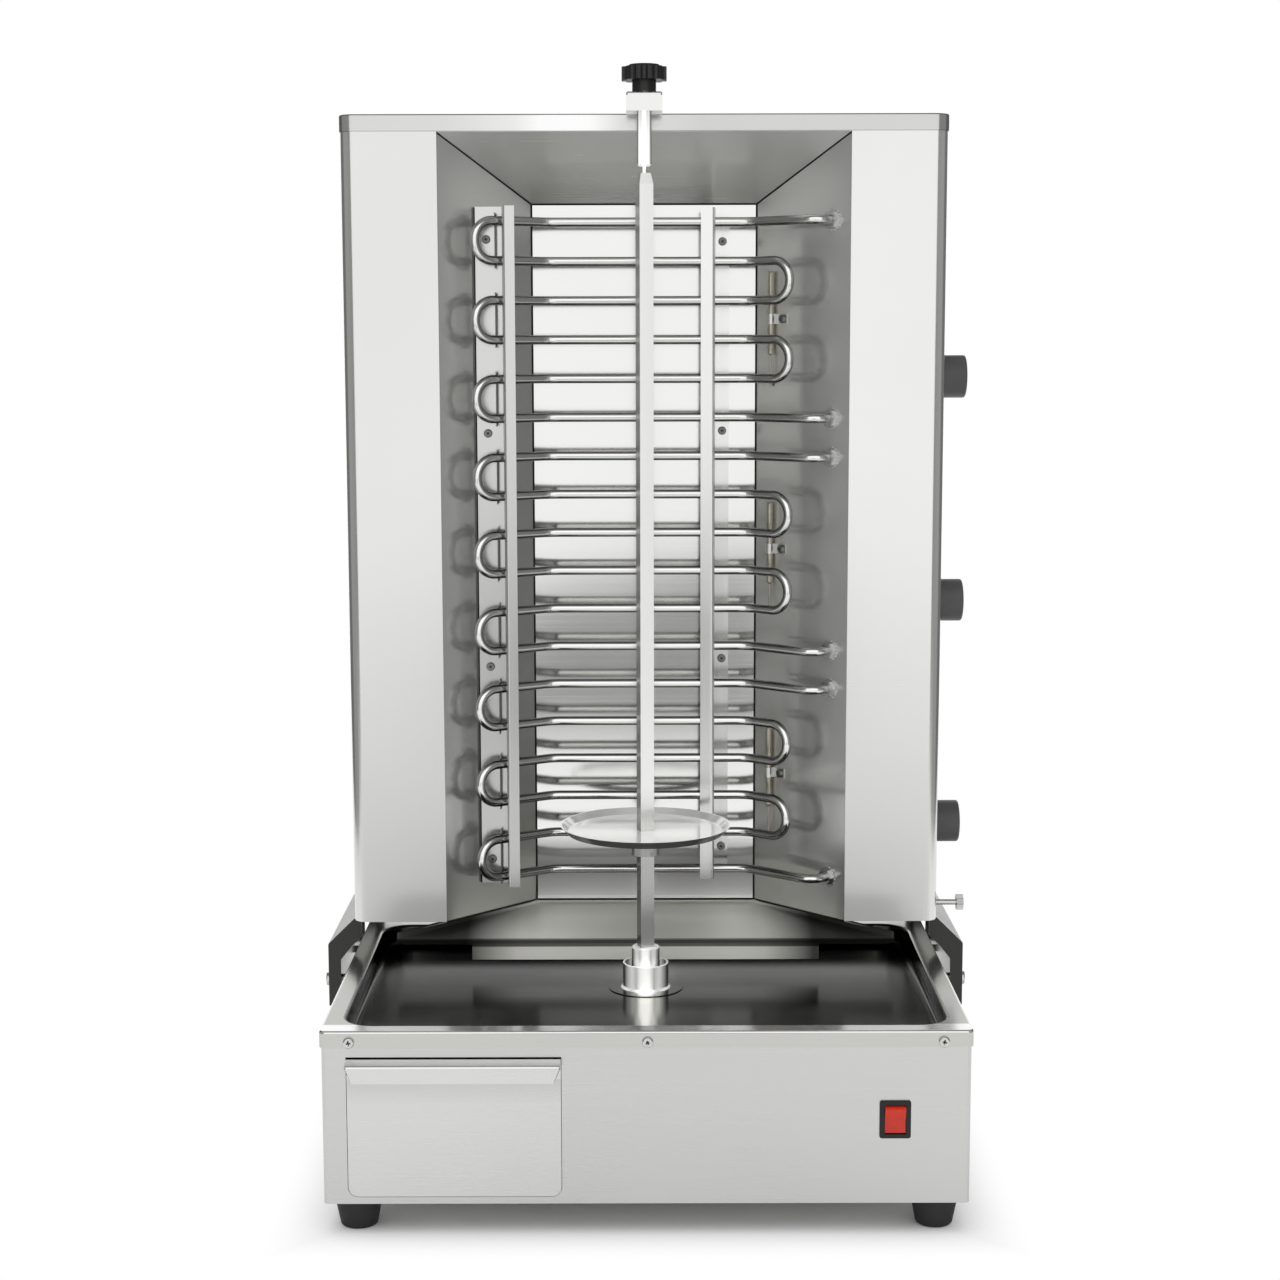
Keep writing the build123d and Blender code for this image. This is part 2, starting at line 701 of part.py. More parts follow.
# The button's section, looking along the pivot: u points out of the panel, tipped by its rest angle
button_tip = radians(button_angle)
button_plane = Plane(
    origin=(rocker_x - button_width / 2, pivot_y, rocker_z),
    x_dir=(0, -cos(button_tip), -sin(button_tip)),
    z_dir=(1, 0, 0),
)
tip_rise = button_radius * 0.18
with BuildPart() as rocker_button:
    with BuildSketch(button_plane):
        with BuildLine():
            Polyline(
                (-button_back, -2 * button_radius),
                (button_crown + 2 * tip_rise, -2 * button_radius),
                (button_crown, 0),
                (button_crown + 2 * tip_rise, 2 * button_radius),
                (-button_back, 2 * button_radius),
                close=True,
            )
        make_face()
        Circle(button_radius, mode=Mode.INTERSECT)
    extrude(amount=button_width)
    with Locations(facing(rocker_x, pivot_y, rocker_z, (1, 0, 0))):
        Cylinder(stub_diameter / 2, button_width + 2 * stub_length)
save(rocker_button, "rocker_button")

# Meat plate: shallow dish with a square hole, its clamp collar below, and the collar's set screw
plate_bottom_z = plate_top_z - plate_sheet
bar_hole = spindle_square + 2 * bar_play
plate_profile = [
    (0, plate_bottom_z),
    (plate_floor_diameter / 2, plate_bottom_z),
    (plate_diameter / 2, plate_bottom_z + plate_rim_height),
    (plate_diameter / 2 - plate_sheet, plate_bottom_z + plate_rim_height),
    (plate_floor_diameter / 2 - plate_sheet / 2, plate_top_z),
    (0, plate_top_z),
]
with BuildPart() as meat_plate:
    with BuildSketch(spindle_plane):
        with BuildLine():
            Polyline(*plate_profile, close=True)
        make_face()
    revolve(axis=spindle_axis)
    with BuildSketch(Plane.XY.offset(plate_top_z)):
        with Locations((0, spindle_y)):
            Rectangle(bar_hole, bar_hole, rotation=spindle_yaw)
    extrude(amount=-2 * plate_sheet, mode=Mode.SUBTRACT)
save(meat_plate, "meat_plate")

collar_middle_z = plate_bottom_z - collar_height / 2
screw_direction = (sin(radians(spindle_yaw)), -cos(radians(spindle_yaw)), 0)
screw_plane = facing(0, spindle_y, collar_middle_z, screw_direction)
with BuildPart() as plate_collar:
    with BuildSketch(Plane.XY.offset(plate_bottom_z)):
        with Locations((0, spindle_y)):
            Circle(collar_diameter / 2)
            Rectangle(bar_hole, bar_hole, rotation=spindle_yaw, mode=Mode.SUBTRACT)
    extrude(amount=-collar_height)
    with BuildSketch(screw_plane):
        Circle(collar_screw_diameter / 2)
    extrude(amount=collar_diameter, mode=Mode.SUBTRACT)
save(plate_collar, "plate_collar")

with BuildPart() as collar_screw:
    with BuildSketch(screw_plane.offset(spindle_square / 2 + bar_play)):
        Circle(collar_screw_diameter / 2)
    extrude(amount=collar_diameter / 2 - spindle_square / 2 + 2.0)
    with BuildSketch(screw_plane.offset(collar_diameter / 2 + 2.0)):
        Circle(collar_screw_diameter / 2 + 1.2)
    extrude(amount=3.0)
save(collar_screw, "collar_screw")

# Slide rails: channels on the base sides, open outwards, with a web up to the skirt for the bolts
rail_top = rim_top - skirt_height - 0.5
rail_lip_x = base_side + sheet + rail_reach - sheet
channel_low = rail_z - rail_inside / 2
channel_high = rail_z + rail_inside / 2
with BuildPart() as slide_rails:
    with BuildSketch(Plane.XZ.offset(-rail_front_y)):
        for side in (-1, 1):
            with BuildLine():
                Polyline(
                    (side * base_side, channel_low - sheet),
                    (side * rail_lip_x, channel_low - sheet),
                    (side * rail_lip_x, channel_low),
                    (side * (base_side + sheet), channel_low),
                    (side * (base_side + sheet), channel_high),
                    (side * rail_lip_x, channel_high),
                    (side * rail_lip_x, channel_high + sheet),
                    (side * (base_side + sheet), channel_high + sheet),
                    (side * (base_side + sheet), rail_top),
                    (side * base_side, rail_top),
                    close=True,
                )
            make_face()
    extrude(amount=rail_front_y - rail_rear_y)
    with BuildSketch(Plane.YZ.offset(-width)):
        with Locations([(y, rail_bolt_z) for y in rail_bolt_y]):
            Circle(rail_bolt_radius)
    extrude(amount=2 * width, mode=Mode.SUBTRACT)
save(slide_rails, "slide_rails")

rail_bolt = pan_head_screw(9.0, rail_bolt_diameter, 7.6, 3.0)
with BuildPart() as rail_bolts:
    for side in (-1, 1):
        with Locations([facing(side * (base_side + sheet), y, rail_bolt_z, (side, 0, 0)) for y in rail_bolt_y]):
            add(rail_bolt)
save(rail_bolts, "rail_bolts")

# Side arms: folded sheets bolted under the casing, with a gusset at each end
arm_radius = 3.0
arm_section = [
    (width / 2 - arm_flange, casing_bottom),
    (width / 2 + 1.0, casing_bottom),
    (arm_bolt_x, arm_shoulder_z),
    (arm_bolt_x, arm_bottom_z),
]
gusset_section = [
    (base_side - 4.0, casing_bottom - 0.5),
    (width / 2 + 1.0, casing_bottom - 0.5),
    (arm_bolt_x - 0.5, arm_shoulder_z),
    (arm_bolt_x - 0.5, arm_bottom_z),
    (rail_lip_x + 4.0, arm_bottom_z),
    (rail_lip_x + 4.0, rim_top - skirt_height + 4.0),
    (base_side + 5.0, rim_top + 3.5),
    (base_side - 4.0, rim_top + 12.0),
]


def arm_plane(y):
    return Plane(origin=(0, y, 0), x_dir=(1, 0, 0), z_dir=(0, -1, 0))


with BuildPart() as right_arm:
    with BuildSketch(arm_plane(arm_rear_y)):
        add(folded_section(arm_section, arm_sheet, arm_radius, Side.RIGHT))
    extrude(amount=arm_rear_y - arm_front_y)
    for y in (arm_front_y + arm_sheet, arm_rear_y):
        with BuildSketch(arm_plane(y)):
            with BuildLine():
                Polyline(*gusset_section, close=True)
            make_face()
        extrude(amount=arm_sheet)
    with Locations([facing(arm_bolt_x, y, rail_z, (1, 0, 0)) for y in arm_bolt_y]):
        Cylinder(arm_bolt_diameter / 2 + hole_gap, 4 * arm_sheet, mode=Mode.SUBTRACT)
with BuildPart() as side_arms:
    add(right_arm.part)
    mirror(about=Plane.YZ)
save(side_arms, "side_arms")

# Arm bolts: shoulder bolts through the arms, each with a roller that runs in the rail
roller_diameter = rail_inside - 0.2
roller_x = base_side + sheet + 1.0
shoulder_diameter = 9.0
with BuildPart() as arm_bolts:
    for side in (-1, 1):
        for y in arm_bolt_y:
            with BuildSketch(facing(side * (arm_bolt_x), y, rail_z, (side, 0, 0))):
                Circle(shoulder_diameter / 2 + 1.5)
            extrude(amount=arm_bolt_head)
            with BuildSketch(facing(side * arm_bolt_x, y, rail_z, (-side, 0, 0))):
                Circle(arm_bolt_diameter / 2)
            extrude(amount=arm_bolt_x - roller_x + 0.5)
            with BuildSketch(facing(side * (arm_bolt_x - arm_sheet), y, rail_z, (-side, 0, 0))):
                Circle(shoulder_diameter / 2)
            extrude(amount=arm_bolt_x - arm_sheet - roller_x - roller_width - fit_gap)
            with BuildSketch(facing(side * roller_x, y, rail_z, (side, 0, 0))):
                Circle(roller_diameter / 2)
                Circle(arm_bolt_diameter / 2 + 0.1, mode=Mode.SUBTRACT)
            extrude(amount=roller_width)
    head_edges = arm_bolts.edges().group_by(Axis.X)
    fillet(head_edges[0] + head_edges[-1], 1.2)
save(arm_bolts, "arm_bolts")

# Casing columns: front and side in one folded sheet; the right one is drilled for shafts and screw
knob_z = [casing_bottom + height for height in knob_heights]
shaft_hole = 10.0
column_section = [(bay_half_width, 0), (width / 2, 0), (width / 2, casing_depth)]
with BuildPart() as left_column:
    with BuildSketch(Plane.XY.offset(casing_bottom)):
        add(mirror(folded_section(column_section, radius=casing_corner), about=Plane.YZ))
    extrude(amount=cap_seam - casing_bottom)
save(left_column, "left_column")

with BuildPart() as right_column:
    with BuildSketch(Plane.XY.offset(casing_bottom)):
        add(folded_section(column_section, radius=casing_corner))
    extrude(amount=cap_seam - casing_bottom)
    with BuildSketch(Plane.YZ.offset(width / 2 + sheet)):
        with Locations([(knob_y, z) for z in knob_z]):
            Circle(shaft_hole / 2)
        with Locations((thumb_y, thumb_z)):
            Circle(thumb_screw_diameter / 2 + running_gap)
    extrude(amount=-3 * sheet, mode=Mode.SUBTRACT)
save(right_column, "right_column")

# Back panel between the columns, with rows of cooling slots
slot_length = 42.0
slot_width = 5.0
slot_pitch = 14.0
with BuildPart() as back_panel:
    with BuildSketch(Plane.XZ.offset(-casing_depth)):
        with Locations((0, (casing_bottom + cap_seam) / 2)):
            Rectangle(width - 2 * sheet, cap_seam - casing_bottom)
        with Locations((0, cap_seam - 90.0), (0, casing_bottom + 90.0)):
            with GridLocations(2 * slot_length, slot_pitch, 5, 5):
                SlotOverall(slot_length, slot_width, mode=Mode.SUBTRACT)
    extrude(amount=sheet)
save(back_panel, "back_panel")

# Top cap: a shallow lid over the columns, slotted for the top arm's screws
slot_front = arm_slot_screw_y[0] - casing_travel
slot_rear = arm_slot_screw_y[1]
arm_screw_diameter = 6.0
with BuildPart() as top_cap:
    cap_middle_y = casing_depth / 2
    cap_width = width + 2 * cap_overhang
    cap_length = casing_depth + 2 * cap_overhang
    with BuildSketch(Plane.XY.offset(cap_seam)):
        with Locations((0, cap_middle_y)):
            RectangleRounded(cap_width, cap_length, casing_corner + cap_overhang)
    extrude(amount=cap_height)
    fillet(top_cap.edges().group_by(Axis.Z)[-1], 1.2)
    with BuildSketch(Plane.XY.offset(cap_seam)):
        with Locations((0, cap_middle_y)):
            RectangleRounded(cap_width - 2 * sheet, cap_length - 2 * sheet, casing_corner + cap_overhang - sheet)
    extrude(amount=cap_height - sheet, mode=Mode.SUBTRACT)
    with BuildSketch(Plane.XY.offset(casing_top)):
        with Locations((0, (slot_front + slot_rear) / 2)):
            SlotCenterToCenter(slot_rear - slot_front, arm_screw_diameter + 2 * fit_gap, rotation=90)
    extrude(amount=-2 * sheet, mode=Mode.SUBTRACT)
save(top_cap, "top_cap")

# The bay: its side walls run from the front opening back and inwards to the rear wall
wall_front = (bay_half_width, sheet)
wall_rear = (bay_rear_half_width, bay_depth)
wall_length = hypot(wall_front[0] - wall_rear[0], wall_front[1] - wall_rear[1])
along = ((wall_front[0] - wall_rear[0]) / wall_length, (wall_front[1] - wall_rear[1]) / wall_length)
outward = (-along[1], along[0], 0)  # square to the right wall, away from the bay
wall_slope = (wall_front[0] - wall_rear[0]) / (wall_front[1] - wall_rear[1])
hidden_shift = sheet / outward[0]


def wall_x(y):
    """X of the right wall's visible face at a given Y."""
    return wall_front[0] + (y - wall_front[1]) * wall_slope


row_z = [top_row_z - row * row_pitch for row in range(3 * rows_per_element)]
element_rows = [row_z[first:first + rows_per_element] for first in range(0, 3 * rows_per_element, rows_per_element)]
entry_z = [z for rows in element_rows for z in (rows[0], rows[-1])]
entry_hit = (wall_x(entry_y), entry_y)
bulb_z = [(rows[0] + rows[-1]) / 2 + 6.0 for rows in element_rows]
bulb_wall = (wall_x(bulb_y), bulb_y)
capillary_drop = 26.0
entry_hole = tube_diameter / 2 + 0.5
capillary_hole = capillary_diameter / 2 + 0.5
clip_tab = 12.0  # bulb to clip screw, along the wall
clip_screw_drop = 5.0
clip_screw_spot = (bulb_wall[0] + along[0] * clip_tab, bulb_wall[1] + along[1] * clip_tab)
left_screw_x = left_web_x - 16.0
right_screw_x = right_web_x + 9.0
support_screw_diameter = 4.0
support_hole = support_screw_diameter / 2 + hole_gap
wall_section = [(wall_front[0] + wall_flange, sheet), wall_front, wall_rear]
rear_face_y = bay_depth - sheet  # the side walls end on the rear wall's face
with BuildPart() as right_wall:
    with BuildSketch(Plane.XY.offset(casing_bottom)):
        add(folded_section(wall_section, radius=2.0, side=Side.RIGHT))
    extrude(amount=cap_seam - casing_bottom)
    with Locations([facing(*entry_hit, z, outward) for z in entry_z]):
        Cylinder(entry_hole, 4 * sheet, mode=Mode.SUBTRACT)
    with Locations([facing(*bulb_wall, z - bulb_length / 2 - capillary_drop, outward) for z in bulb_z]):
        Cylinder(capillary_hole, 4 * sheet, mode=Mode.SUBTRACT)
    with Locations([facing(*clip_screw_spot, z - clip_screw_drop, outward) for z in bulb_z]):
        Cylinder(support_hole, 4 * sheet, mode=Mode.SUBTRACT)
    with Locations((0, rear_face_y, casing_bottom)):
        Box(width, 4 * sheet, casing_height, align=(Align.CENTER, Align.MIN, Align.MIN), mode=Mode.SUBTRACT)
with BuildPart() as left_wall:
    with BuildSketch(Plane.XY.offset(casing_bottom)):
        add(mirror(folded_section(wall_section, radius=2.0, side=Side.RIGHT), about=Plane.YZ))
    extrude(amount=cap_seam - casing_bottom)
    with BuildSketch(Plane.XZ):
        with Locations([(left_screw_x, z) for z in support_screw_heights]):
            Circle(support_hole)
    extrude(amount=-bay_depth, mode=Mode.SUBTRACT)
    with Locations((0, rear_face_y, casing_bottom)):
        Box(width, 4 * sheet, casing_height, align=(Align.CENTER, Align.MIN, Align.MIN), mode=Mode.SUBTRACT)
with BuildPart() as bay_side_walls:
    add(right_wall.part)
    add(left_wall.part)
save(bay_side_walls, "bay_side_walls")

# Bay rear wall: a flat sheet that the side walls' ends stand against
rear_half_width = bay_rear_half_width + hidden_shift
with BuildPart() as bay_rear_wall:
    with BuildSketch(Plane.XY.offset(casing_bottom)):
        with Locations((0, rear_face_y + sheet / 2)):
            Rectangle(2 * rear_half_width, sheet)
    extrude(amount=bay_ceiling_rear_z - casing_bottom)
    with BuildSketch(Plane.XZ):
        with Locations([(right_screw_x, z) for z in support_screw_heights]):
            Circle(support_hole)
    extrude(amount=-bay_depth - sheet, mode=Mode.SUBTRACT)
save(bay_rear_wall, "bay_rear_wall")

# Bay ceiling: slopes down to the rear wall and hooks up behind the cap's front edge
ceiling_front_y = sheet - cap_overhang
ceiling_section = [
    (ceiling_front_y, cap_seam + ceiling_flange - 2 * sheet),
    (ceiling_front_y, cap_seam),
    (bay_depth, bay_ceiling_rear_z),
]
bay_outline = [
    (-bay_half_width, ceiling_front_y),
    (bay_half_width, ceiling_front_y),
    wall_front,
    wall_rear,
    (-wall_rear[0], wall_rear[1]),
    (-wall_front[0], wall_front[1]),
]
with BuildPart() as bay_ceiling:
    with BuildSketch(Plane.YZ.offset(-bay_half_width)):
        add(folded_section(ceiling_section, radius=2.0))
    extrude(amount=2 * bay_half_width)
    with BuildSketch():
        with BuildLine():
            Polyline(*bay_outline, close=True)
        make_face()
    extrude(amount=casing_top, mode=Mode.INTERSECT)
save(bay_ceiling, "bay_ceiling")

# Casing floor: three plates that close the columns and the space behind the bay from below
floor_front_y = 2 * sheet + fit_gap
floor_rear_y = casing_depth - sheet
column_floor = [
    (wall_x(floor_front_y) + hidden_shift, floor_front_y),
    (width / 2 - sheet, floor_front_y),
    (width / 2 - sheet, floor_rear_y),
    (bay_rear_half_width + hidden_shift, floor_rear_y),
    (bay_rear_half_width + hidden_shift, bay_depth),
]
with BuildPart() as casing_floor:
    with BuildSketch(Plane.XY.offset(casing_bottom)) as floor_outline:
        with BuildLine():
            Polyline(*column_floor, close=True)
        make_face()
        fillet(floor_outline.vertices().sort_by(Axis.X)[-2:].sort_by(Axis.Y)[0], casing_corner - sheet)
        mirror(about=Plane.YZ)
        with Locations((0, (bay_depth + sheet + floor_rear_y) / 2)):
            Rectangle(2 * (bay_rear_half_width + hidden_shift - fit_gap), floor_rear_y - bay_depth - sheet)
    extrude(amount=sheet)
save(casing_floor, "casing_floor")

# Drip plate: a tapered sheet under the bay that leads grease forward into the tray
drip_rear_y = bay_depth
drip_front_z = casing_bottom - drip_front_drop
drip_rear_z = casing_bottom - 4.5
drip_flange_height = 12.0


def drip_block(bottom, top, inset):
    """The plate's tapered outline between two heights above its sloping underside."""
    with BuildPart() as block:
        with BuildSketch(Plane.YZ.offset(-drip_front_half_width)):
            with BuildLine():
                Polyline(
                    (drip_front_y, drip_front_z + bottom),
                    (drip_rear_y, drip_rear_z + bottom),
                    (drip_rear_y, drip_rear_z + top),
                    (drip_front_y, drip_front_z + top),
                    close=True,
                )
            make_face()
        extrude(amount=2 * drip_front_half_width)
        with BuildSketch():
            with BuildLine():
                Polyline(
                    (-drip_front_half_width + inset, drip_front_y),
                    (drip_front_half_width - inset, drip_front_y),
                    (bay_rear_half_width - inset, drip_rear_y),
                    (-bay_rear_half_width + inset, drip_rear_y),
                    close=True,
                )
            make_face()
        extrude(amount=casing_top, mode=Mode.INTERSECT)
    return block.part


hem_inset = 2.7
with BuildPart() as drip_plate:
    add(drip_block(0, drip_hem, 0))
    add(drip_block(sheet, 2 * drip_hem, hem_inset), mode=Mode.SUBTRACT)
    with Locations((0, drip_front_y, drip_front_z - drip_lip)):
        Box(2 * (drip_front_half_width - 3 * sheet), sheet, drip_lip + sheet, align=(Align.CENTER, Align.MIN, Align.MIN))
    with Locations((0, drip_front_y, drip_front_z - drip_apron)):
        Box(2 * drip_apron_half_width, sheet, drip_apron + sheet, align=(Align.CENTER, Align.MIN, Align.MIN))
    with Locations((0, 0, casing_bottom - fit_gap)):
        Box(width, 2 * casing_depth, casing_gap, align=(Align.CENTER, Align.CENTER, Align.MIN), mode=Mode.SUBTRACT)
    with Locations((0, drip_rear_y, drip_rear_z)):
        Box(2 * bay_rear_half_width - 6.0, sheet, drip_flange_height, align=(Align.CENTER, Align.MIN, Align.MIN))
    with Locations((0, drip_front_y, drip_front_z + sheet)):
        Box(2 * drip_front_half_width, sheet, 4.0, align=(Align.CENTER, Align.MAX, Align.MAX))
save(drip_plate, "drip_plate")

# Heating elements: one unbroken tube each, six rows, with the terminals through the right wall
turn_corner = 0.998 * row_pitch / 2
entry_start = (entry_hit[0] + outward[0] * entry_depth, entry_hit[1] + outward[1] * entry_depth)
entry_corner = (entry_hit[0] - outward[0] * entry_run, entry_hit[1] - outward[1] * entry_run)


def element_route(rows):
    """Corner points and their radii, from the upper terminal to the lower one."""
    points = [(*entry_start, rows[0]), (*entry_corner, rows[0])]
    radii = [entry_bend]
    for index, z in enumerate(rows):
        leftward = index % 2 == 0
        ends = [row_right, row_left] if leftward else [row_left, row_right]
        points += [(x, row_y, z) for x in ends]
        radii += [bend_radius, bend_radius]
        if index < len(rows) - 1:
            turn = left_turn if leftward else right_turn
            points += [(*turn, z), (*turn, rows[index + 1])]
            radii += [turn_corner, turn_corner]
    points += [(*entry_corner, rows[-1]), (*entry_start, rows[-1])]
    radii += [entry_bend]
    return points, radii


for name, rows in zip(("element_top", "element_middle", "element_bottom"), element_rows):
    points, radii = element_route(rows)
    with BuildPart() as element:
        with BuildLine() as route:
            FilletPolyline(*points, radius=radii)
        with BuildSketch(Plane(origin=route.line @ 0, z_dir=route.line % 0)):
            Circle(tube_diameter / 2)
        sweep()
    route_length = sum(edge.length for edge in route.edges())
    expected = pi * (tube_diameter / 2) ** 2 * route_length
    print("tube volume against section times length", round(element.part.volume / expected, 4))
    save(element, name)

# Element nuts: a flanged hexagon on the bay side of the wall at each terminal
with BuildPart() as element_nuts:
    for z in entry_z:
        nut_plane = facing(*entry_hit, z, (-outward[0], -outward[1], 0))
        with BuildSketch(nut_plane):
            Circle(nut_diameter / 2)
            Circle(tube_diameter / 2 + hole_gap, mode=Mode.SUBTRACT)
        extrude(amount=sheet)
        with BuildSketch(nut_plane):
            RegularPolygon(nut_across / 2, 6, major_radius=False)
            Circle(tube_diameter / 2 + hole_gap, mode=Mode.SUBTRACT)
        extrude(amount=nut_height)
save(element_nuts, "element_nuts")

# Left support: a strip beside the wall, a web with a slot for each row, and a front lip
tube_radius = tube_diameter / 2
support_bottom_z = support_top_z - support_length
left_strip_back = left_strip_y + support_sheet
left_strip_end = -wall_x(left_strip_back) + 0.5
left_section = [
    (left_strip_end, left_strip_back),
    (left_web_x, left_strip_back),
    (left_web_x, left_lip_y + support_sheet),
    (left_web_x + left_lip_width, left_lip_y + support_sheet),
]
left_rise = (row_y - left_turn[1]) / (row_left - left_turn[0])  # the tubes' slant beside the left wall
left_slant = hypot(1, left_rise)


def left_tube_y(x):
    """Y of the slanted tubes' middle line at a given X near the left wall."""
    return row_y + (x - row_left) * left_rise


row_slot_length = tube_diameter * left_slant + support_sheet * left_rise + 2 * hole_gap
with BuildPart() as left_support:
    with BuildSketch(Plane.XY.offset(support_bottom_z)):
        add(folded_section(left_section, support_sheet, 2.0, Side.RIGHT))
    extrude(amount=support_length)
    with BuildSketch(Plane.YZ.offset(left_web_x - 2 * support_sheet)):
        with Locations([(left_tube_y(left_web_x - support_sheet / 2), z) for z in row_z]):
            SlotOverall(row_slot_length, tube_diameter + 2 * hole_gap)
    extrude(amount=3 * support_sheet, mode=Mode.SUBTRACT)
    with BuildSketch(Plane.XZ.offset(-left_strip_back - sheet)):
        with Locations([(left_screw_x, z) for z in support_screw_heights]):
            Circle(support_hole)
    extrude(amount=3 * sheet, mode=Mode.SUBTRACT)
save(left_support, "left_support")

# Right support: flange on the rear wall, drilled web, and the bar in front of the tubes
right_lip_back = row_y - tube_radius - right_lip_gap
rear_wall_front = bay_depth - sheet
right_section = [
    (right_web_x + right_flange, rear_wall_front),
    (right_web_x, rear_wall_front),
    (right_web_x, right_lip_back),
    (right_web_x - right_lip_width, right_lip_back),
]
with BuildPart() as right_support:
    with BuildSketch(Plane.XY.offset(support_bottom_z)):
        add(folded_section(right_section, support_sheet, 2.0))
    extrude(amount=support_length)
    with BuildSketch(Plane.YZ.offset(right_web_x - support_sheet)):
        with Locations([(row_y, z) for z in row_z]):
            Circle(tube_radius + hole_gap)
    extrude(amount=4 * support_sheet, mode=Mode.SUBTRACT)
    with BuildSketch(Plane.XZ.offset(-rear_wall_front - sheet)):
        with Locations([(right_screw_x, z) for z in support_screw_heights]):
            Circle(support_hole)
    extrude(amount=3 * sheet, mode=Mode.SUBTRACT)
save(right_support, "right_support")

# Support screws: through both supports, and through the three sensor clips
clip_sheet = 1.0
small_head = (7.5, 2.8)
left_screw = pan_head_screw(20.0, support_screw_diameter, *small_head)
short_screw = pan_head_screw(8.0, support_screw_diameter, *small_head)
with BuildPart() as support_screws:
    with Locations([facing(left_screw_x, left_strip_y, z, (0, -1, 0)) for z in support_screw_heights]):
        add(left_screw)
    with Locations([facing(right_screw_x, rear_wall_front - support_sheet, z, (0, -1, 0))
                    for z in support_screw_heights]):
        add(short_screw)
    inward = (-outward[0], -outward[1], 0)
    clip_face = (clip_screw_spot[0] + inward[0] * clip_sheet, clip_screw_spot[1] + inward[1] * clip_sheet)
    with Locations([facing(*clip_face, z - clip_screw_drop, inward) for z in bulb_z]):
        add(short_screw)
save(support_screws, "support_screws")

# Element clips: a wire behind both tubes of each left turn, hooked over and under them
clip_y = left_tube_y(clip_x) + (tube_radius + clip_wire / 2 + 0.1) * left_slant
clip_front_y = left_tube_y(clip_x)
pairs = [(rows[first], rows[first + 1]) for rows in element_rows for first in range(0, rows_per_element, 2)]
with BuildPart() as element_clips:
    for upper, lower in pairs:
        high = upper + clip_reach
        low = lower - clip_reach
        with BuildLine() as wire:
            FilletPolyline(
                (clip_x, clip_front_y, high),
                (clip_x, clip_y, high),
                (clip_x, clip_y, low),
                (clip_x, clip_front_y, low),
                radius=2.0,
            )
        with BuildSketch(Plane(origin=wire.line @ 0, z_dir=wire.line % 0)):
            Circle(clip_wire / 2)
        sweep()
save(element_clips, "element_clips")

# Thermostats behind the right side, with their shafts and knobs
thermostat_face = width / 2 - sheet
shaft_in_body = 20.0
knob_start = width / 2 + 1.6
knob_end = side_reach - 0.5
shaft_end = knob_start + 16.0
with BuildPart() as thermostats:
    with Locations([(thermostat_face, knob_y, z) for z in knob_z]):
        Box(*thermostat_size, align=(Align.MAX, Align.CENTER, Align.CENTER))
    fillet(thermostats.edges().filter_by(Axis.X), 4.0)
    with Locations([facing(thermostat_face, knob_y, z, (1, 0, 0)) for z in knob_z]):
        Cylinder(thermostat_shaft / 2 + running_gap, 2 * (shaft_in_body + fit_gap), mode=Mode.SUBTRACT)
save(thermostats, "thermostats")

for name, z in zip(("top", "middle", "bottom"), knob_z):
    with BuildPart() as shaft:
        with BuildSketch(facing(thermostat_face - shaft_in_body, knob_y, z, (1, 0, 0))):
            Circle(thermostat_shaft / 2)
        extrude(amount=shaft_end - thermostat_face + shaft_in_body)
    save(shaft, f"thermostat_shaft_{name}")
    with BuildPart() as knob:
        with BuildSketch(facing(knob_start, knob_y, z, (1, 0, 0))):
            Circle(knob_diameter / 2)
        extrude(amount=knob_end - knob_start)
        fillet(knob.edges().group_by(Axis.X)[-1], knob_dome)
        chamfer(knob.edges().group_by(Axis.X)[0], 0.6)
        with BuildSketch(facing(knob_start, knob_y, z, (1, 0, 0))):
            Circle(thermostat_shaft / 2)
        extrude(amount=shaft_end - knob_start, mode=Mode.SUBTRACT)
    save(knob, f"heat_knob_{name}")

# Sensor bulbs on the right wall, each with its capillary going through the wall below it
bulb_spot = (bulb_wall[0] + inward[0] * bulb_standoff, bulb_wall[1] + inward[1] * bulb_standoff)
with BuildPart() as sensor_bulbs:
    for z in bulb_z:
        with BuildSketch(Plane.XY.offset(z - bulb_length / 2)):
            with Locations(bulb_spot):
                Circle(bulb_diameter / 2)
        extrude(amount=bulb_length)
    fillet(sensor_bulbs.edges().filter_by(GeomType.CIRCLE), 0.45 * bulb_diameter)
    for z in bulb_z:
        bottom = z - bulb_length / 2
        turn_z = bottom - capillary_drop
        through = (bulb_wall[0] + outward[0] * 8.0, bulb_wall[1] + outward[1] * 8.0)
        with BuildLine() as capillary:
            FilletPolyline((*bulb_spot, bottom + 1.0), (*bulb_spot, turn_z), (*through, turn_z), radius=3.5)
        with BuildSketch(Plane(origin=capillary.line @ 0, z_dir=capillary.line % 0)):
            Circle(capillary_diameter / 2)
        sweep()
save(sensor_bulbs, "sensor_bulbs")

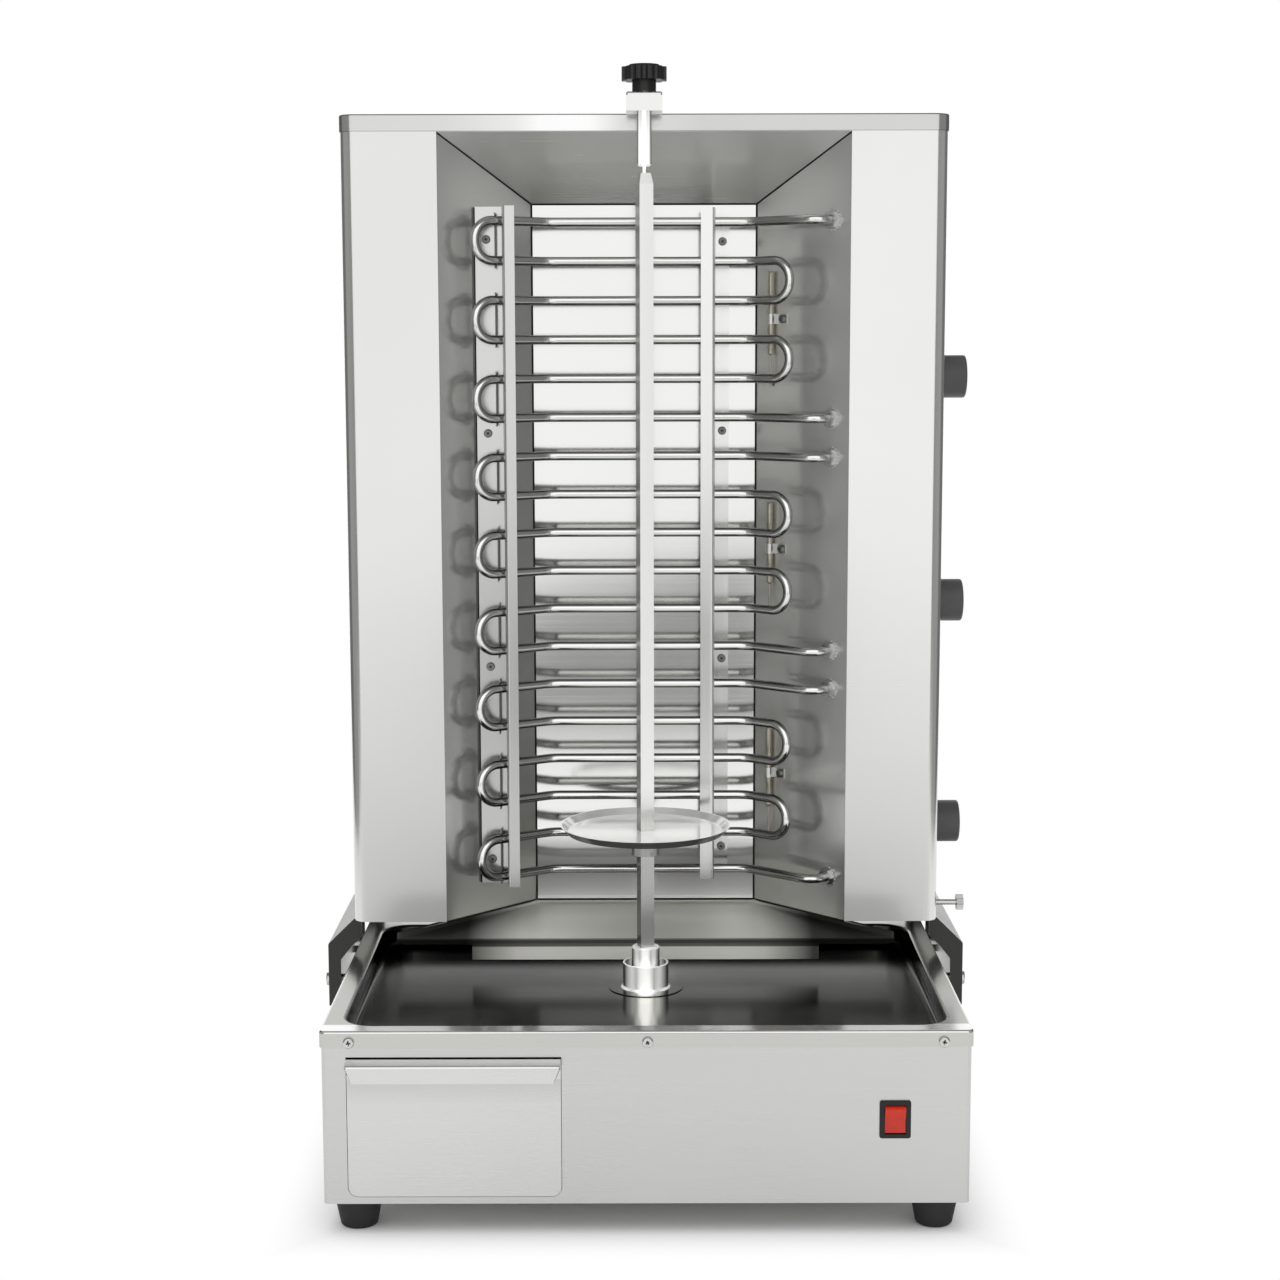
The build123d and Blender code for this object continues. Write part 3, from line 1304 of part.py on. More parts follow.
# Sensor clips: a saddle over each bulb with a tab for its screw
clip_height = 9.0
saddle_radius = bulb_diameter / 2 + clip_sheet
with BuildPart() as sensor_clips:
    for z in bulb_z:
        clip_plane = Plane(origin=(*bulb_wall, z - clip_screw_drop - clip_height / 2),
                           x_dir=(-along[0], -along[1], 0), z_dir=(0, 0, 1))
        with BuildSketch(clip_plane):
            with Locations((0, bulb_standoff)):
                Circle(saddle_radius)
            with Locations((0, bulb_standoff / 2)):
                Rectangle(2 * saddle_radius, bulb_standoff)
            with Locations((-clip_tab / 2 - 2.2, clip_sheet / 2)):
                Rectangle(clip_tab + 4.4, clip_sheet)
            with Locations((0, bulb_standoff)):
                Circle(bulb_diameter / 2 + 0.05, mode=Mode.SUBTRACT)
            with Locations((0, (bulb_standoff - saddle_radius / 2) / 2)):
                Rectangle(bulb_diameter, bulb_standoff - saddle_radius / 2, mode=Mode.SUBTRACT)
        extrude(amount=clip_height)
    with Locations([facing(*clip_screw_spot, z - clip_screw_drop, outward) for z in bulb_z]):
        Cylinder(support_hole, 4 * sheet, mode=Mode.SUBTRACT)
save(sensor_clips, "sensor_clips")

# Thumb screw on the right side: a knurled head on a threaded shank
thumb_start = width / 2 + thumb_reach
thumb_shank_length = 32.0
knurl_count = 24
knurl_depth = 0.5
with BuildPart() as thumb_screw:
    with BuildSketch(facing(thumb_start, thumb_y, thumb_z, (-1, 0, 0))) as knurl:
        Circle(thumb_head_diameter / 2)
        with PolarLocations(thumb_head_diameter / 2, knurl_count):
            Rectangle(2 * knurl_depth, 2 * knurl_depth, rotation=45, mode=Mode.SUBTRACT)
    extrude(amount=thumb_head_length)
    with BuildSketch(facing(thumb_start, thumb_y, thumb_z, (-1, 0, 0))):
        Circle(thumb_screw_diameter / 2)
    extrude(amount=thumb_shank_length)
save(thumb_screw, "thumb_screw")

# Top arm: a solid nose over the spindle and an open-ended box lying on the cap
top_arm_bottom_z = casing_top + fit_gap
top_arm_top_z = top_arm_bottom_z + arm_height
arm_length = arm_tail_y - arm_nose_y
hollow_start = arm_nose_y + arm_nose_block
with BuildPart() as top_arm:
    with Locations((0, arm_nose_y, top_arm_bottom_z)):
        Box(arm_width, arm_length, arm_height, align=(Align.CENTER, Align.MIN, Align.MIN))
    fillet(top_arm.edges().filter_by(Axis.Y), 1.5)
    fillet(top_arm.edges().filter_by(Axis.Z).group_by(Axis.Y)[0], 2.0)
    with Locations((0, hollow_start, top_arm_bottom_z + arm_wall)):
        Box(arm_width - 2 * arm_wall, arm_length, arm_height - 2 * arm_wall,
            align=(Align.CENTER, Align.MIN, Align.MIN), mode=Mode.SUBTRACT)
    nose_bottom_z = top_arm_bottom_z - arm_nose_drop
    with Locations((0, arm_nose_y, nose_bottom_z)):
        Box(arm_width, arm_nose_block - arm_wall, arm_height, align=(Align.CENTER, Align.MIN, Align.MIN))
    with BuildSketch(Plane.XY.offset(nose_bottom_z)):
        with Locations((0, spindle_y)):
            Circle(clamp_screw_diameter / 2 + running_gap)
    extrude(amount=arm_height + arm_nose_drop, mode=Mode.SUBTRACT)
    with BuildSketch(Plane.XY.offset(top_arm_bottom_z)):
        with Locations([(0, y) for y in arm_slot_screw_y]):
            Circle(arm_screw_diameter / 2 + hole_gap)
    extrude(amount=arm_wall, mode=Mode.SUBTRACT)
save(top_arm, "top_arm")

# Arm screws: up through the cap's slot, with a nut inside the arm
arm_head_diameter = 16.0
arm_head_height = 2.0
arm_nut_across = 10.0
arm_nut_height = 5.0
arm_head_top = casing_top - sheet - fit_gap
with BuildPart() as arm_screws:
    for y in arm_slot_screw_y:
        with BuildSketch(Plane.XY.offset(arm_head_top - arm_head_height)):
            with Locations((0, y)):
                Circle(arm_head_diameter / 2)
        extrude(amount=arm_head_height)
        with BuildSketch(Plane.XY.offset(arm_head_top)):
            with Locations((0, y)):
                Circle(arm_screw_diameter / 2)
        extrude(amount=top_arm_bottom_z + arm_wall - arm_head_top)
        with BuildSketch(Plane.XY.offset(top_arm_bottom_z + arm_wall)):
            with Locations((0, y)):
                RegularPolygon(arm_nut_across / 2, 6, major_radius=False)
        extrude(amount=arm_nut_height)
save(arm_screws, "arm_screws")

# Clamp screw: a rod through the arm's nose whose pin centres the spindle's tip
clamp_pin_bottom_z = spindle_tip_z - pin_seat_depth + fit_gap
clamp_rod_top_z = clamp_knob_top_z - 8.0
with BuildPart() as clamp_screw:
    with BuildSketch(Plane.XY.offset(clamp_screw_bottom_z)):
        with Locations((0, spindle_y)):
            Circle(clamp_screw_diameter / 2)
    extrude(amount=clamp_rod_top_z - clamp_screw_bottom_z)
    chamfer(clamp_screw.edges().group_by(Axis.Z)[0], 1.5)
    with BuildSketch(Plane.XY.offset(clamp_pin_bottom_z)):
        with Locations((0, spindle_y)):
            Circle(clamp_pin_diameter / 2)
    extrude(amount=clamp_screw_bottom_z - clamp_pin_bottom_z)
    chamfer(clamp_screw.edges().group_by(Axis.Z)[0], 0.5)
save(clamp_screw, "clamp_screw")

# Clamp knob: a round neck below a fluted head with a low dome
knob_bottom_z = top_arm_top_z + 1.2
flute_radius = 3.2
dome_rise = 2.0
clamp_head_z = clamp_knob_top_z - dome_rise - clamp_knob_height
with BuildPart() as clamp_knob:
    with BuildSketch(Plane.XY.offset(knob_bottom_z)):
        with Locations((0, spindle_y)):
            Circle(clamp_knob_neck_diameter / 2)
    extrude(amount=clamp_head_z - knob_bottom_z)
    with BuildSketch(Plane.XY.offset(clamp_head_z)):
        with Locations((0, spindle_y)):
            Circle(clamp_knob_diameter / 2)
            with PolarLocations(clamp_knob_diameter / 2 + 0.3 * flute_radius, clamp_knob_flutes):
                Circle(flute_radius, mode=Mode.SUBTRACT)
    extrude(amount=clamp_knob_height)
    with BuildSketch(Plane.XY.offset(clamp_head_z + clamp_knob_height)):
        with Locations((0, spindle_y)):
            Circle(0.36 * clamp_knob_diameter)
    extrude(amount=dome_rise, taper=30)
    with BuildSketch(Plane.XY.offset(knob_bottom_z)):
        with Locations((0, spindle_y)):
            Circle(clamp_screw_diameter / 2 + running_gap)
    extrude(amount=clamp_rod_top_z + fit_gap - knob_bottom_z, mode=Mode.SUBTRACT)
save(clamp_knob, "clamp_knob")
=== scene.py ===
# %% [markdown]
# # Electric doner kebab grill
#
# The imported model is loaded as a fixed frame, in metres, +Z up, front towards -Y. This script
# gives every piece its material, adds the small details that the solids leave out, and sets up
# the camera, the floor and the light of the photograph.

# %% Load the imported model
from math import radians

import bmesh
import bpy
from mathutils import Matrix, Vector


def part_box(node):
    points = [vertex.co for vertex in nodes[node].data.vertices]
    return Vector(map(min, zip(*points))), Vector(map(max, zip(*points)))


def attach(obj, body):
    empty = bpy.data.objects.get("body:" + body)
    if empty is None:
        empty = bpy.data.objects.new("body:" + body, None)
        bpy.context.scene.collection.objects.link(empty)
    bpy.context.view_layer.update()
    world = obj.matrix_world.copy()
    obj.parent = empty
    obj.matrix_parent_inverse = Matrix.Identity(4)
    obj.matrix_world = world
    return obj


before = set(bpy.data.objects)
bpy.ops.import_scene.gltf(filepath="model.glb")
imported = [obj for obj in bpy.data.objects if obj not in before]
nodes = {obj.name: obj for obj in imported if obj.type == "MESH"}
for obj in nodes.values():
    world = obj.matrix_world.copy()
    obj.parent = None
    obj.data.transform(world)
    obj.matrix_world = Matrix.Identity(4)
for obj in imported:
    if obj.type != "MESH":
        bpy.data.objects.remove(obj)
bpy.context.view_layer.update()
scene = bpy.context.scene
print("nodes loaded:", len(nodes))

# %% [markdown]
# ## Camera
#
# Solved from the photograph: the focal length in pixels of a 1280 pixel frame, the height and
# the distance come from the base, the casing and the rows of heating tube.

# %% Camera
focal_pixels = 2258.0
photo_pixels = 1280
sensor_width = 36.0
camera_place = (-0.0044, -1.961, 0.7127)
camera_pitch = 7.6
camera_roll = -0.12

camera_data = bpy.data.cameras.new("camera")
camera_data.sensor_width = sensor_width
camera_data.lens = focal_pixels / photo_pixels * sensor_width
camera_data.clip_end = 60.0
camera = bpy.data.objects.new("camera", camera_data)
camera.matrix_world = (
    Matrix.Translation(camera_place)
    @ Matrix.Rotation(radians(90 - camera_pitch), 4, "X")
    @ Matrix.Rotation(radians(camera_roll), 4, "Z")
)
scene.collection.objects.link(camera)
scene.camera = camera
scene.view_settings.view_transform = "Standard"
print("lens in mm:", round(camera_data.lens, 1))

# %% [markdown]
# ## Material tools
#
# A material here is a small node tree. One function turns a hex colour into the linear numbers
# that the renderer counts in, and one adds a node with its settings and links. A third starts an
# empty material, because a new one comes with nodes of its own.

# %% Node helpers
def linear(colour):
    """A hex colour as it looks on screen, as linear RGB."""
    parts = [int(colour[i:i + 2], 16) / 255 for i in (1, 3, 5)]
    return tuple(c / 12.92 if c <= 0.04045 else ((c + 0.055) / 1.055) ** 2.4 for c in parts)


def add_node(tree, kind, inputs=None, **settings):
    """A node with its settings. An input is a value, a socket, or a node whose first output feeds it."""
    node = tree.nodes.new(kind)
    for name, value in settings.items():
        setattr(node, name, value)
    for name, value in (inputs or {}).items():
        if isinstance(value, bpy.types.Node):
            value = value.outputs[0]
        if isinstance(value, bpy.types.NodeSocket):
            tree.links.new(value, node.inputs[name])
        else:
            node.inputs[name].default_value = value
    return node


def empty_material(name):
    """A material without nodes, and its tree."""
    material = bpy.data.materials.new(name)
    material.use_nodes = True
    material.node_tree.nodes.clear()
    return material, material.node_tree


print("#808080 in linear light:", round(linear("#808080")[0], 3))

# %% [markdown]
# ## Patterns
#
# No real surface is quite even. Brushing leaves fine lines along one axis and wiping leaves broad
# clouds. Both are noise on the object's own coordinates, so they stay put when a piece moves. Noise
# mostly lies between 0.3 and 0.7, so that range is spread over the numbers a finish needs.

# %% Patterns
noise_low, noise_high = 0.3, 0.7


def stretched_noise(tree, scale, detail, roughness=0.6):
    """Noise with its own scale along each axis, in waves per metre."""
    place = add_node(tree, "ShaderNodeTexCoord")
    mapping = add_node(tree, "ShaderNodeMapping", {"Vector": place.outputs["Object"], "Scale": scale})
    return add_node(tree, "ShaderNodeTexNoise", {
        "Vector": mapping, "Scale": 1.0, "Detail": detail, "Roughness": roughness,
    })


def uneven(tree, *marks):
    """The product of some noises, each given as (noise, low, high) and spread over low to high."""
    product = None
    for noise, low, high in marks:
        part = add_node(tree, "ShaderNodeMapRange", {
            "Value": noise.outputs["Fac"], "From Min": noise_low, "From Max": noise_high,
            "To Min": low, "To Max": high,
        })
        product = part if product is None else add_node(
            tree, "ShaderNodeMath", {0: product, 1: part}, operation="MULTIPLY")
    return product


# %% [markdown]
# ## Brushed steel
#
# Stainless sheet comes from the mill with a grit 180 finish. An abrasive belt has drawn lines about
# 0.05 mm apart along the sheet, each some hand-widths long. At this distance they can't be told
# apart, so they are drawn 1.5 mm apart and faint. They give the eye a silky sheet: a mirror image
# that is blurred across the grain, which is what anisotropy does, and no clear highlight.

# %% Brushed steel
lines_across = 650.0  # a metre, so 1.5 mm apart
lines_along = 4.0  # a metre, so about 250 mm long
clouds = 7.0  # a metre, so about 140 mm wide, as a wiping hand leaves them
GRAIN = {
    "x": ((lines_along, lines_across, lines_across), (0.0, 0.7, 0.7)),
    "y": ((lines_across, lines_along, lines_across), (0.7, 0.0, 0.7)),
    "z": ((lines_across, lines_across, lines_along), (0.7, 0.7, 0.0)),
}


def steel(name, colour, roughness, grain, lines=0.006, anisotropy=0.3, smudge=0.015,
          bump=0.0000015, metallic=1.0):
    """Stainless sheet or bar with a brushed grain along one axis and faint wiping marks."""
    material, tree = empty_material(name)
    scale, across = GRAIN[grain]
    fine = stretched_noise(tree, scale, 4.0, 0.7)
    broad = stretched_noise(tree, (clouds, clouds, clouds), 2.0)
    tone = uneven(tree, (fine, 1 - lines, 1 + lines), (broad, 1 - smudge, 1 + smudge))
    toned = add_node(tree, "ShaderNodeVectorMath", {0: linear(colour), "Scale": tone}, operation="SCALE")
    rough = uneven(tree, (fine, roughness * 0.85, roughness * 1.15), (broad, 0.92, 1.08))
    raised = add_node(tree, "ShaderNodeBump", {
        "Height": fine.outputs["Fac"], "Distance": bump, "Strength": 0.5,
    })
    shader = add_node(tree, "ShaderNodeBsdfPrincipled", {
        "Base Color": toned, "Roughness": rough, "Metallic": metallic,
        "Anisotropic": anisotropy, "Normal": raised,
    })
    if anisotropy:
        tangent = add_node(tree, "ShaderNodeCombineXYZ", {"X": across[0], "Y": across[1], "Z": across[2]})
        tree.links.new(tangent.outputs["Vector"], shader.inputs["Tangent"])
    add_node(tree, "ShaderNodeOutputMaterial", {"Surface": shader})
    return material


# %% [markdown]
# ## Moulded plastic
#
# A mould is spark-eroded or blasted, and the part takes over its grain of about 1 mm. The moulding
# cools unevenly, so its tone drifts a little over 25 mm. The eye gets one soft highlight and a colour
# that stays the same from all sides.

# %% Moulded plastic
mould_grain = 900.0  # a metre, so 1.1 mm
mould_drift = 40.0  # a metre, so 25 mm


def plastic(name, colour, roughness):
    """Moulded plastic or rubber with a fine grain."""
    material, tree = empty_material(name)
    fine = stretched_noise(tree, (mould_grain, mould_grain, mould_grain), 2.0)
    broad = stretched_noise(tree, (mould_drift, mould_drift, mould_drift), 2.0)
    toned = add_node(tree, "ShaderNodeVectorMath", {
        0: linear(colour), "Scale": uneven(tree, (broad, 0.88, 1.12)),
    }, operation="SCALE")
    raised = add_node(tree, "ShaderNodeBump", {
        "Height": fine.outputs["Fac"], "Distance": 0.00003, "Strength": 0.6,
    })
    shader = add_node(tree, "ShaderNodeBsdfPrincipled", {
        "Base Color": toned, "Normal": raised,
        "Roughness": uneven(tree, (broad, roughness * 0.9, roughness * 1.1)),
    })
    add_node(tree, "ShaderNodeOutputMaterial", {"Surface": shader})
    return material


# %% [markdown]
# ## Tone that follows a place or a direction
#
# Light and shade fall in known places and are painted into the tone here: painted shade darkens
# the lower end of a column and the corners of the tray, and a fold turns its face away from the light.
# A color ramp is the simplest way to write such a change down: a short list of places, or of
# directions of the surface, and the tone at each.

# %% Tone tools
def level(tree, source, axis, stops):
    """A number that changes along one axis of the place or the face normal, from (at, number) pairs."""
    if source == "place":
        vector = add_node(tree, "ShaderNodeTexCoord").outputs["Object"]
    else:
        vector = add_node(tree, "ShaderNodeNewGeometry").outputs["True Normal"]
    parts = add_node(tree, "ShaderNodeSeparateXYZ", {"Vector": vector})
    first, last = stops[0][0], stops[-1][0]
    along = add_node(tree, "ShaderNodeMapRange", {
        "Value": parts.outputs[axis], "From Min": first, "From Max": last,
    })
    ramp = add_node(tree, "ShaderNodeValToRGB", {"Fac": along})
    elements = ramp.color_ramp.elements
    while len(elements) < len(stops):
        elements.new(0.5)
    for element, (at, number) in zip(elements, stops):
        element.position = (at - first) / (last - first)
        element.color = (number, number, number, 1.0)
    return ramp


def shader_of(material):
    """The material's one Principled shader."""
    return next(node for node in material.node_tree.nodes if node.type == "BSDF_PRINCIPLED")


def retone(material, make_factor):
    """Scales a material's colour by the factor that make_factor(tree) returns."""
    tree, shader = material.node_tree, shader_of(material)
    colour = shader.inputs["Base Color"].links[0].from_socket
    toned = add_node(tree, "ShaderNodeVectorMath", {0: colour, "Scale": make_factor(tree)}, operation="SCALE")
    tree.links.new(toned.outputs["Vector"], shader.inputs["Base Color"])
    return material


def dull(material, make_share):
    """Lets the metal share follow make_share(tree): where it falls, the sheet scatters light."""
    tree = material.node_tree
    tree.links.new(make_share(tree).outputs[0], shader_of(material).inputs["Metallic"])
    return material


def dress(material, *names):
    """Gives CAD nodes a material."""
    for name in names:
        for place in nodes[name].material_slots:
            place.material = material
    print(material.name, "on", ", ".join(names))


# %% [markdown]
# ## Columns and cap
#
# The machine's skin is stainless sheet. Steel has hardly any colour of its own, so each panel shows
# the white studio in front of it, a little darker than it is, and its grain, which runs along the
# panel's length, blurs that picture. The columns have painted shade towards the grease tray and are
# less of a mirror there, and the cap has one painted highlight and painted shade on its turned edges.

# %% Columns and cap
def column_painted_shade(tree):
    # Painted shade: the columns grow darker towards the grease tray.
    return level(tree, "place", "Z", [
        (0.19, 0.90), (0.25, 0.88), (0.33, 0.89), (0.40, 0.91),
        (0.47, 0.95), (0.54, 0.985), (0.62, 1.0), (0.90, 0.98),
    ])


def column_gloss(tree):
    front = level(tree, "normal", "Y", [(-0.97, 1.0), (-0.88, 0.0)])
    height = level(tree, "place", "Z", [(0.19, 0.12), (0.27, 0.25), (0.40, 0.70), (0.50, 1.0), (0.90, 1.0)])
    return add_node(tree, "ShaderNodeMix", {0: front, 2: 0.92, 3: height})


def cap_painted_highlight(tree):
    # Painted highlight: one broad bright place on the cap, brighter than white at its middle.
    painted_bright_place = level(tree, "place", "X", [
        (-0.26, 0.78), (-0.17, 0.80), (-0.11, 0.94), (-0.075, 1.2),
        (-0.045, 1.1), (-0.02, 0.86), (0.05, 0.74), (0.26, 0.75),
    ])
    # Painted shade along the cap's turned lower and upper edges.
    edges = level(tree, "place", "Z", [
        (0.8870, 0.55), (0.8882, 0.60), (0.8886, 1.0), (0.9010, 1.0), (0.9016, 0.30), (0.9030, 0.30),
    ])
    front = level(tree, "normal", "Y", [(-0.8, 1.0), (-0.3, 0.0)])
    both = add_node(tree, "ShaderNodeMath", {0: painted_bright_place, 1: edges}, operation="MULTIPLY")
    return add_node(tree, "ShaderNodeMix", {0: front, 2: 0.75, 3: both})


for column, colour in (("left_column", "#E8E8E6"), ("right_column", "#EFEFED")):
    dress(dull(retone(steel(column + "_steel", colour, 0.15, "z"), column_painted_shade), column_gloss), column)
dress(retone(steel("cap_steel", "#F4F4F2", 0.20, "x"), cap_painted_highlight), "top_cap")

# %% [markdown]
# ## Base panels and drawer
#
# The base is folded from the same sheet with its grain lying down. It stands lower and mirrors the
# floor as well as the room, so it looks a shade greyer. The drawer front is one sheet whose upper
# edge is folded out to a sloping lip: the slope faces the sky and is painted brighter, and the sheet
# just under it has painted shade from the lip. Sheet at the back and inside is the same steel with less
# polish.

# %% Base panels and drawer
panel_bump = 0.0000004


def drawer_painted_light(tree):
    # Painted highlight on the sloping lip, and painted shade on the sheet just under it.
    slope = level(tree, "normal", "Z", [(0.2, 0.0), (0.5, 1.0)])
    lip_shade = level(tree, "place", "Z", [(0.108, 0.78), (0.1290, 0.66), (0.1302, 0.80), (0.1440, 0.80)])
    return add_node(tree, "ShaderNodeMix", {0: slope, 2: lip_shade, 3: 1.25})


dress(steel("panel_steel", "#D2D2D1", 0.30, "x", bump=panel_bump), "base_front_panel")
dress(retone(steel("drawer_steel", "#F4F4F2", 0.28, "x", bump=panel_bump), drawer_painted_light), "drawer_front")
dress(steel("rear_steel", "#DADAD8", 0.35, "x"), "base_rear_panel", "base_side_panels", "back_panel",
      "base_floor_plate", "casing_floor")
dress(steel("pan_steel", "#C8C8C5", 0.30, "x"), "drawer_pan")

# %% [markdown]
# ## Grease tray
#
# The tray is one deep-drawn sheet. Its floor is polished like a mirror and is painted dark as a
# painted reflection, darkest in the corners, and its walls have painted shade. The narrow rim has a
# painted highlight, and the skirt is as bright as the base with a painted bright line on its top bend.
# In front of the hub a painted bright streak runs forwards, and a ring pressed up round the hub has a
# painted highlight. One material tells these zones apart by their place and by the way the sheet faces.

# %% Tray
def tray_painted_light(tree):
    upward = level(tree, "normal", "Z", [(0.5, 0.0), (0.9, 1.0)])
    low = level(tree, "place", "Z", [(0.1515, 1.0), (0.1560, 0.0)])
    # Painted reflection: the floor is dark, darkest towards the corners, with a bright streak in front of the
    # hub.
    floor_painted_reflection = level(tree, "place", "X", [
        (-0.24, 0.014), (-0.15, 0.024), (-0.09, 0.06), (-0.03, 0.11), (-0.013, 0.22), (-0.004, 1.0),
        (0.007, 1.0), (0.017, 0.22), (0.03, 0.11), (0.10, 0.07), (0.17, 0.05), (0.22, 0.025),
    ])
    # Painted highlight on the front rim.
    rim_painted_highlight = level(tree, "place", "Y", [(-0.2130, 1.28), (-0.2110, 0.60)])
    flat_tone = add_node(tree, "ShaderNodeMix", {0: low, 2: rim_painted_highlight, 3: floor_painted_reflection})
    # Painted shade on the basin walls.
    basin_painted_shade = add_node(tree, "ShaderNodeMix", {0: upward, 2: 0.16, 3: flat_tone})

    # Painted highlight on the ring round the hub.
    near_hub = level(tree, "place", "X", [(-0.036, 0.0), (-0.034, 1.0), (0.034, 1.0), (0.036, 0.0)])
    ring_height = level(tree, "place", "Z", [(0.1503, 0.0), (0.1508, 1.0), (0.1530, 1.0), (0.1535, 0.0)])
    ring = add_node(tree, "ShaderNodeMath", {0: near_hub, 1: ring_height}, operation="MULTIPLY")
    inner_tone = add_node(tree, "ShaderNodeMix", {0: ring, 2: basin_painted_shade, 3: 0.75})

    skirt_y = level(tree, "place", "Y", [(-0.2284, 1.0), (-0.2276, 0.0), (0.2276, 0.0), (0.2284, 1.0)])
    skirt_x = level(tree, "place", "X", [(-0.2594, 1.0), (-0.2586, 0.0), (0.2586, 0.0), (0.2594, 1.0)])
    skirt = add_node(tree, "ShaderNodeMath", {0: skirt_y, 1: skirt_x}, operation="MAXIMUM")
    # Painted light on the skirt: darker where it stands upright, a bright line on its top bend.
    skirt_painted_light = level(tree, "normal", "Z", [(0.0, 0.72), (0.20, 0.76), (0.42, 1.45), (0.9, 1.35)])
    return add_node(tree, "ShaderNodeMix", {0: skirt, 2: inner_tone, 3: skirt_painted_light})


dress(retone(steel("tray_steel", "#E8E8E3", 0.17, "x", lines=0.02), tray_painted_light), "drip_tray")

# %% [markdown]
# ## Walls, ceiling and rear sheet of the bay
#
# The sheets round the heaters are the same steel with a brighter polish, so that they throw the heat
# forward. The rear sheet is almost a mirror and shows the white room, except at its foot, which is
# less of a mirror and has a painted dark band above one painted bright line. The walls turn darker
# towards their front edges.

# %% Bay sheets
def wall_tone(tree):
    return level(tree, "place", "X", [(-0.177, 0.72), (-0.100, 0.86), (0.100, 0.90), (0.177, 0.70)])


def rear_foot_gloss(tree):
    return level(tree, "place", "Z", [(0.190, 0.20), (0.240, 0.20), (0.262, 1.0), (0.832, 1.0)])


def rear_foot_painted_light(tree):
    # Painted bright line along the foot of the rear sheet, and painted shade in the band above it.
    return level(tree, "place", "Z", [
        (0.190, 1.9), (0.1996, 1.9), (0.2006, 1.25), (0.210, 1.0),
        (0.228, 0.68), (0.240, 0.66), (0.262, 1.0), (0.832, 1.0),
    ])


dress(retone(steel("bay_wall_steel", "#E6E6E3", 0.17, "z", metallic=0.72), wall_tone), "bay_side_walls")
dress(steel("ceiling_steel", "#DCDCD8", 0.24, "x", metallic=0.55), "bay_ceiling")
dress(dull(retone(steel("rear_wall_steel", "#F2F2F0", 0.11, "x"), rear_foot_painted_light), rear_foot_gloss),
      "bay_rear_wall")

# %% [markdown]
# ## Drip plate
#
# The plate under the bay is dulled by washing: it scatters light instead of mirroring. Its folded
# front edge has painted shade, the sheet that hangs under that edge has painted light below a painted
# dark band, and both ends are painted dark as a painted reflection of the side walls. The dull film
# mirrors next to nothing, so the shader's own clear reflection is turned down.

# %% Drip plate
def drip_painted_light(tree):
    # Painted shade on the folded front edge.
    fold = level(tree, "place", "Y", [(-0.0010, 0.45), (0.0046, 0.45), (0.0050, 1.0)])
    # Painted shade at both ends, a painted reflection of the dark side walls.
    end_shade = level(tree, "place", "X", [
        (-0.222, 0.10), (-0.160, 0.07), (-0.112, 0.90), (-0.090, 1.0),
        (0.080, 1.0), (0.105, 0.85), (0.150, 0.07), (0.222, 0.08),
    ])
    # Painted light on the hanging sheet, brighter than white, with a painted dark band under the fold.
    apron_painted_light = level(tree, "place", "Z", [
        (0.1620, 1.30), (0.1732, 1.35), (0.1742, 0.28), (0.1800, 0.28), (0.1812, 1.0),
    ])
    ends_and_apron = add_node(tree, "ShaderNodeMath", {0: end_shade, 1: apron_painted_light}, operation="MULTIPLY")
    return add_node(tree, "ShaderNodeMath", {0: ends_and_apron, 1: fold}, operation="MULTIPLY")


drip_steel = retone(steel("drip_plate_steel", "#F2F2EA", 0.34, "x", lines=0.012, metallic=0.20), drip_painted_light)
shader_of(drip_steel).inputs["Specular IOR Level"].default_value = 0.05
dress(drip_steel, "drip_plate")

# %% [markdown]
# ## Support bars and top arm
#
# Two upright strips carry the heaters. They were polished lengthwise before bending and are darker
# towards the lower end, the left one more than the right. The top arm lies above the heat and is
# still as clean as new.

# %% Support bars and top arm
def bar_tone(tree):
    height = level(tree, "place", "Z", [(0.226, 0.78), (0.45, 0.80), (0.65, 0.95), (0.83, 1.0)])
    left_or_right = level(tree, "place", "X", [(-0.01, 0.86), (0.01, 1.10)])
    return add_node(tree, "ShaderNodeMath", {0: height, 1: left_or_right}, operation="MULTIPLY")


dress(retone(steel("support_steel", "#ECECEA", 0.22, "z"), bar_tone), "left_support", "right_support")
dress(steel("top_arm_steel", "#F4F4F2", 0.24, "y"), "top_arm")

# %% [markdown]
# ## Heater tube
#
# The heaters are drawn stainless tube of 8 mm. On so thin a round bar the whole studio shrinks to
# three lines: a bright one in the middle, a grey one above and a dark one below. These lines are a
# painted reflection: the tone follows the way the surface faces, and is kept brighter at the bends,
# where the tube turns out of line.

# %% Heater tube
def tube_painted_reflection(tree):
    # Painted reflection: bright where the surface faces forwards or back, dark where it faces up or down.
    across = level(tree, "normal", "Y", [
        (-1.0, 1.0), (-0.94, 1.0), (-0.82, 0.55), (-0.60, 0.18), (-0.30, 0.10),
        (0.30, 0.10), (0.60, 0.18), (0.82, 0.55), (0.94, 1.0), (1.0, 1.0),
    ])
    bends = level(tree, "place", "X", [(-0.150, 0.55), (-0.130, 0.0), (0.116, 0.0), (0.136, 0.55)])
    lit = add_node(tree, "ShaderNodeMath", {0: across, 1: bends}, operation="MAXIMUM")
    # Painted light: faces turned up brighter, faces turned down darker.
    above = level(tree, "normal", "Z", [(-1.0, 0.55), (-0.3, 0.80), (0.2, 1.05), (1.0, 1.6)])
    return add_node(tree, "ShaderNodeMath", {0: lit, 1: above}, operation="MULTIPLY")


dress(retone(steel("tube_steel", "#F6F6F2", 0.16, "x", lines=0.03, anisotropy=0.0), tube_painted_reflection),
      "element_top", "element_middle", "element_bottom")

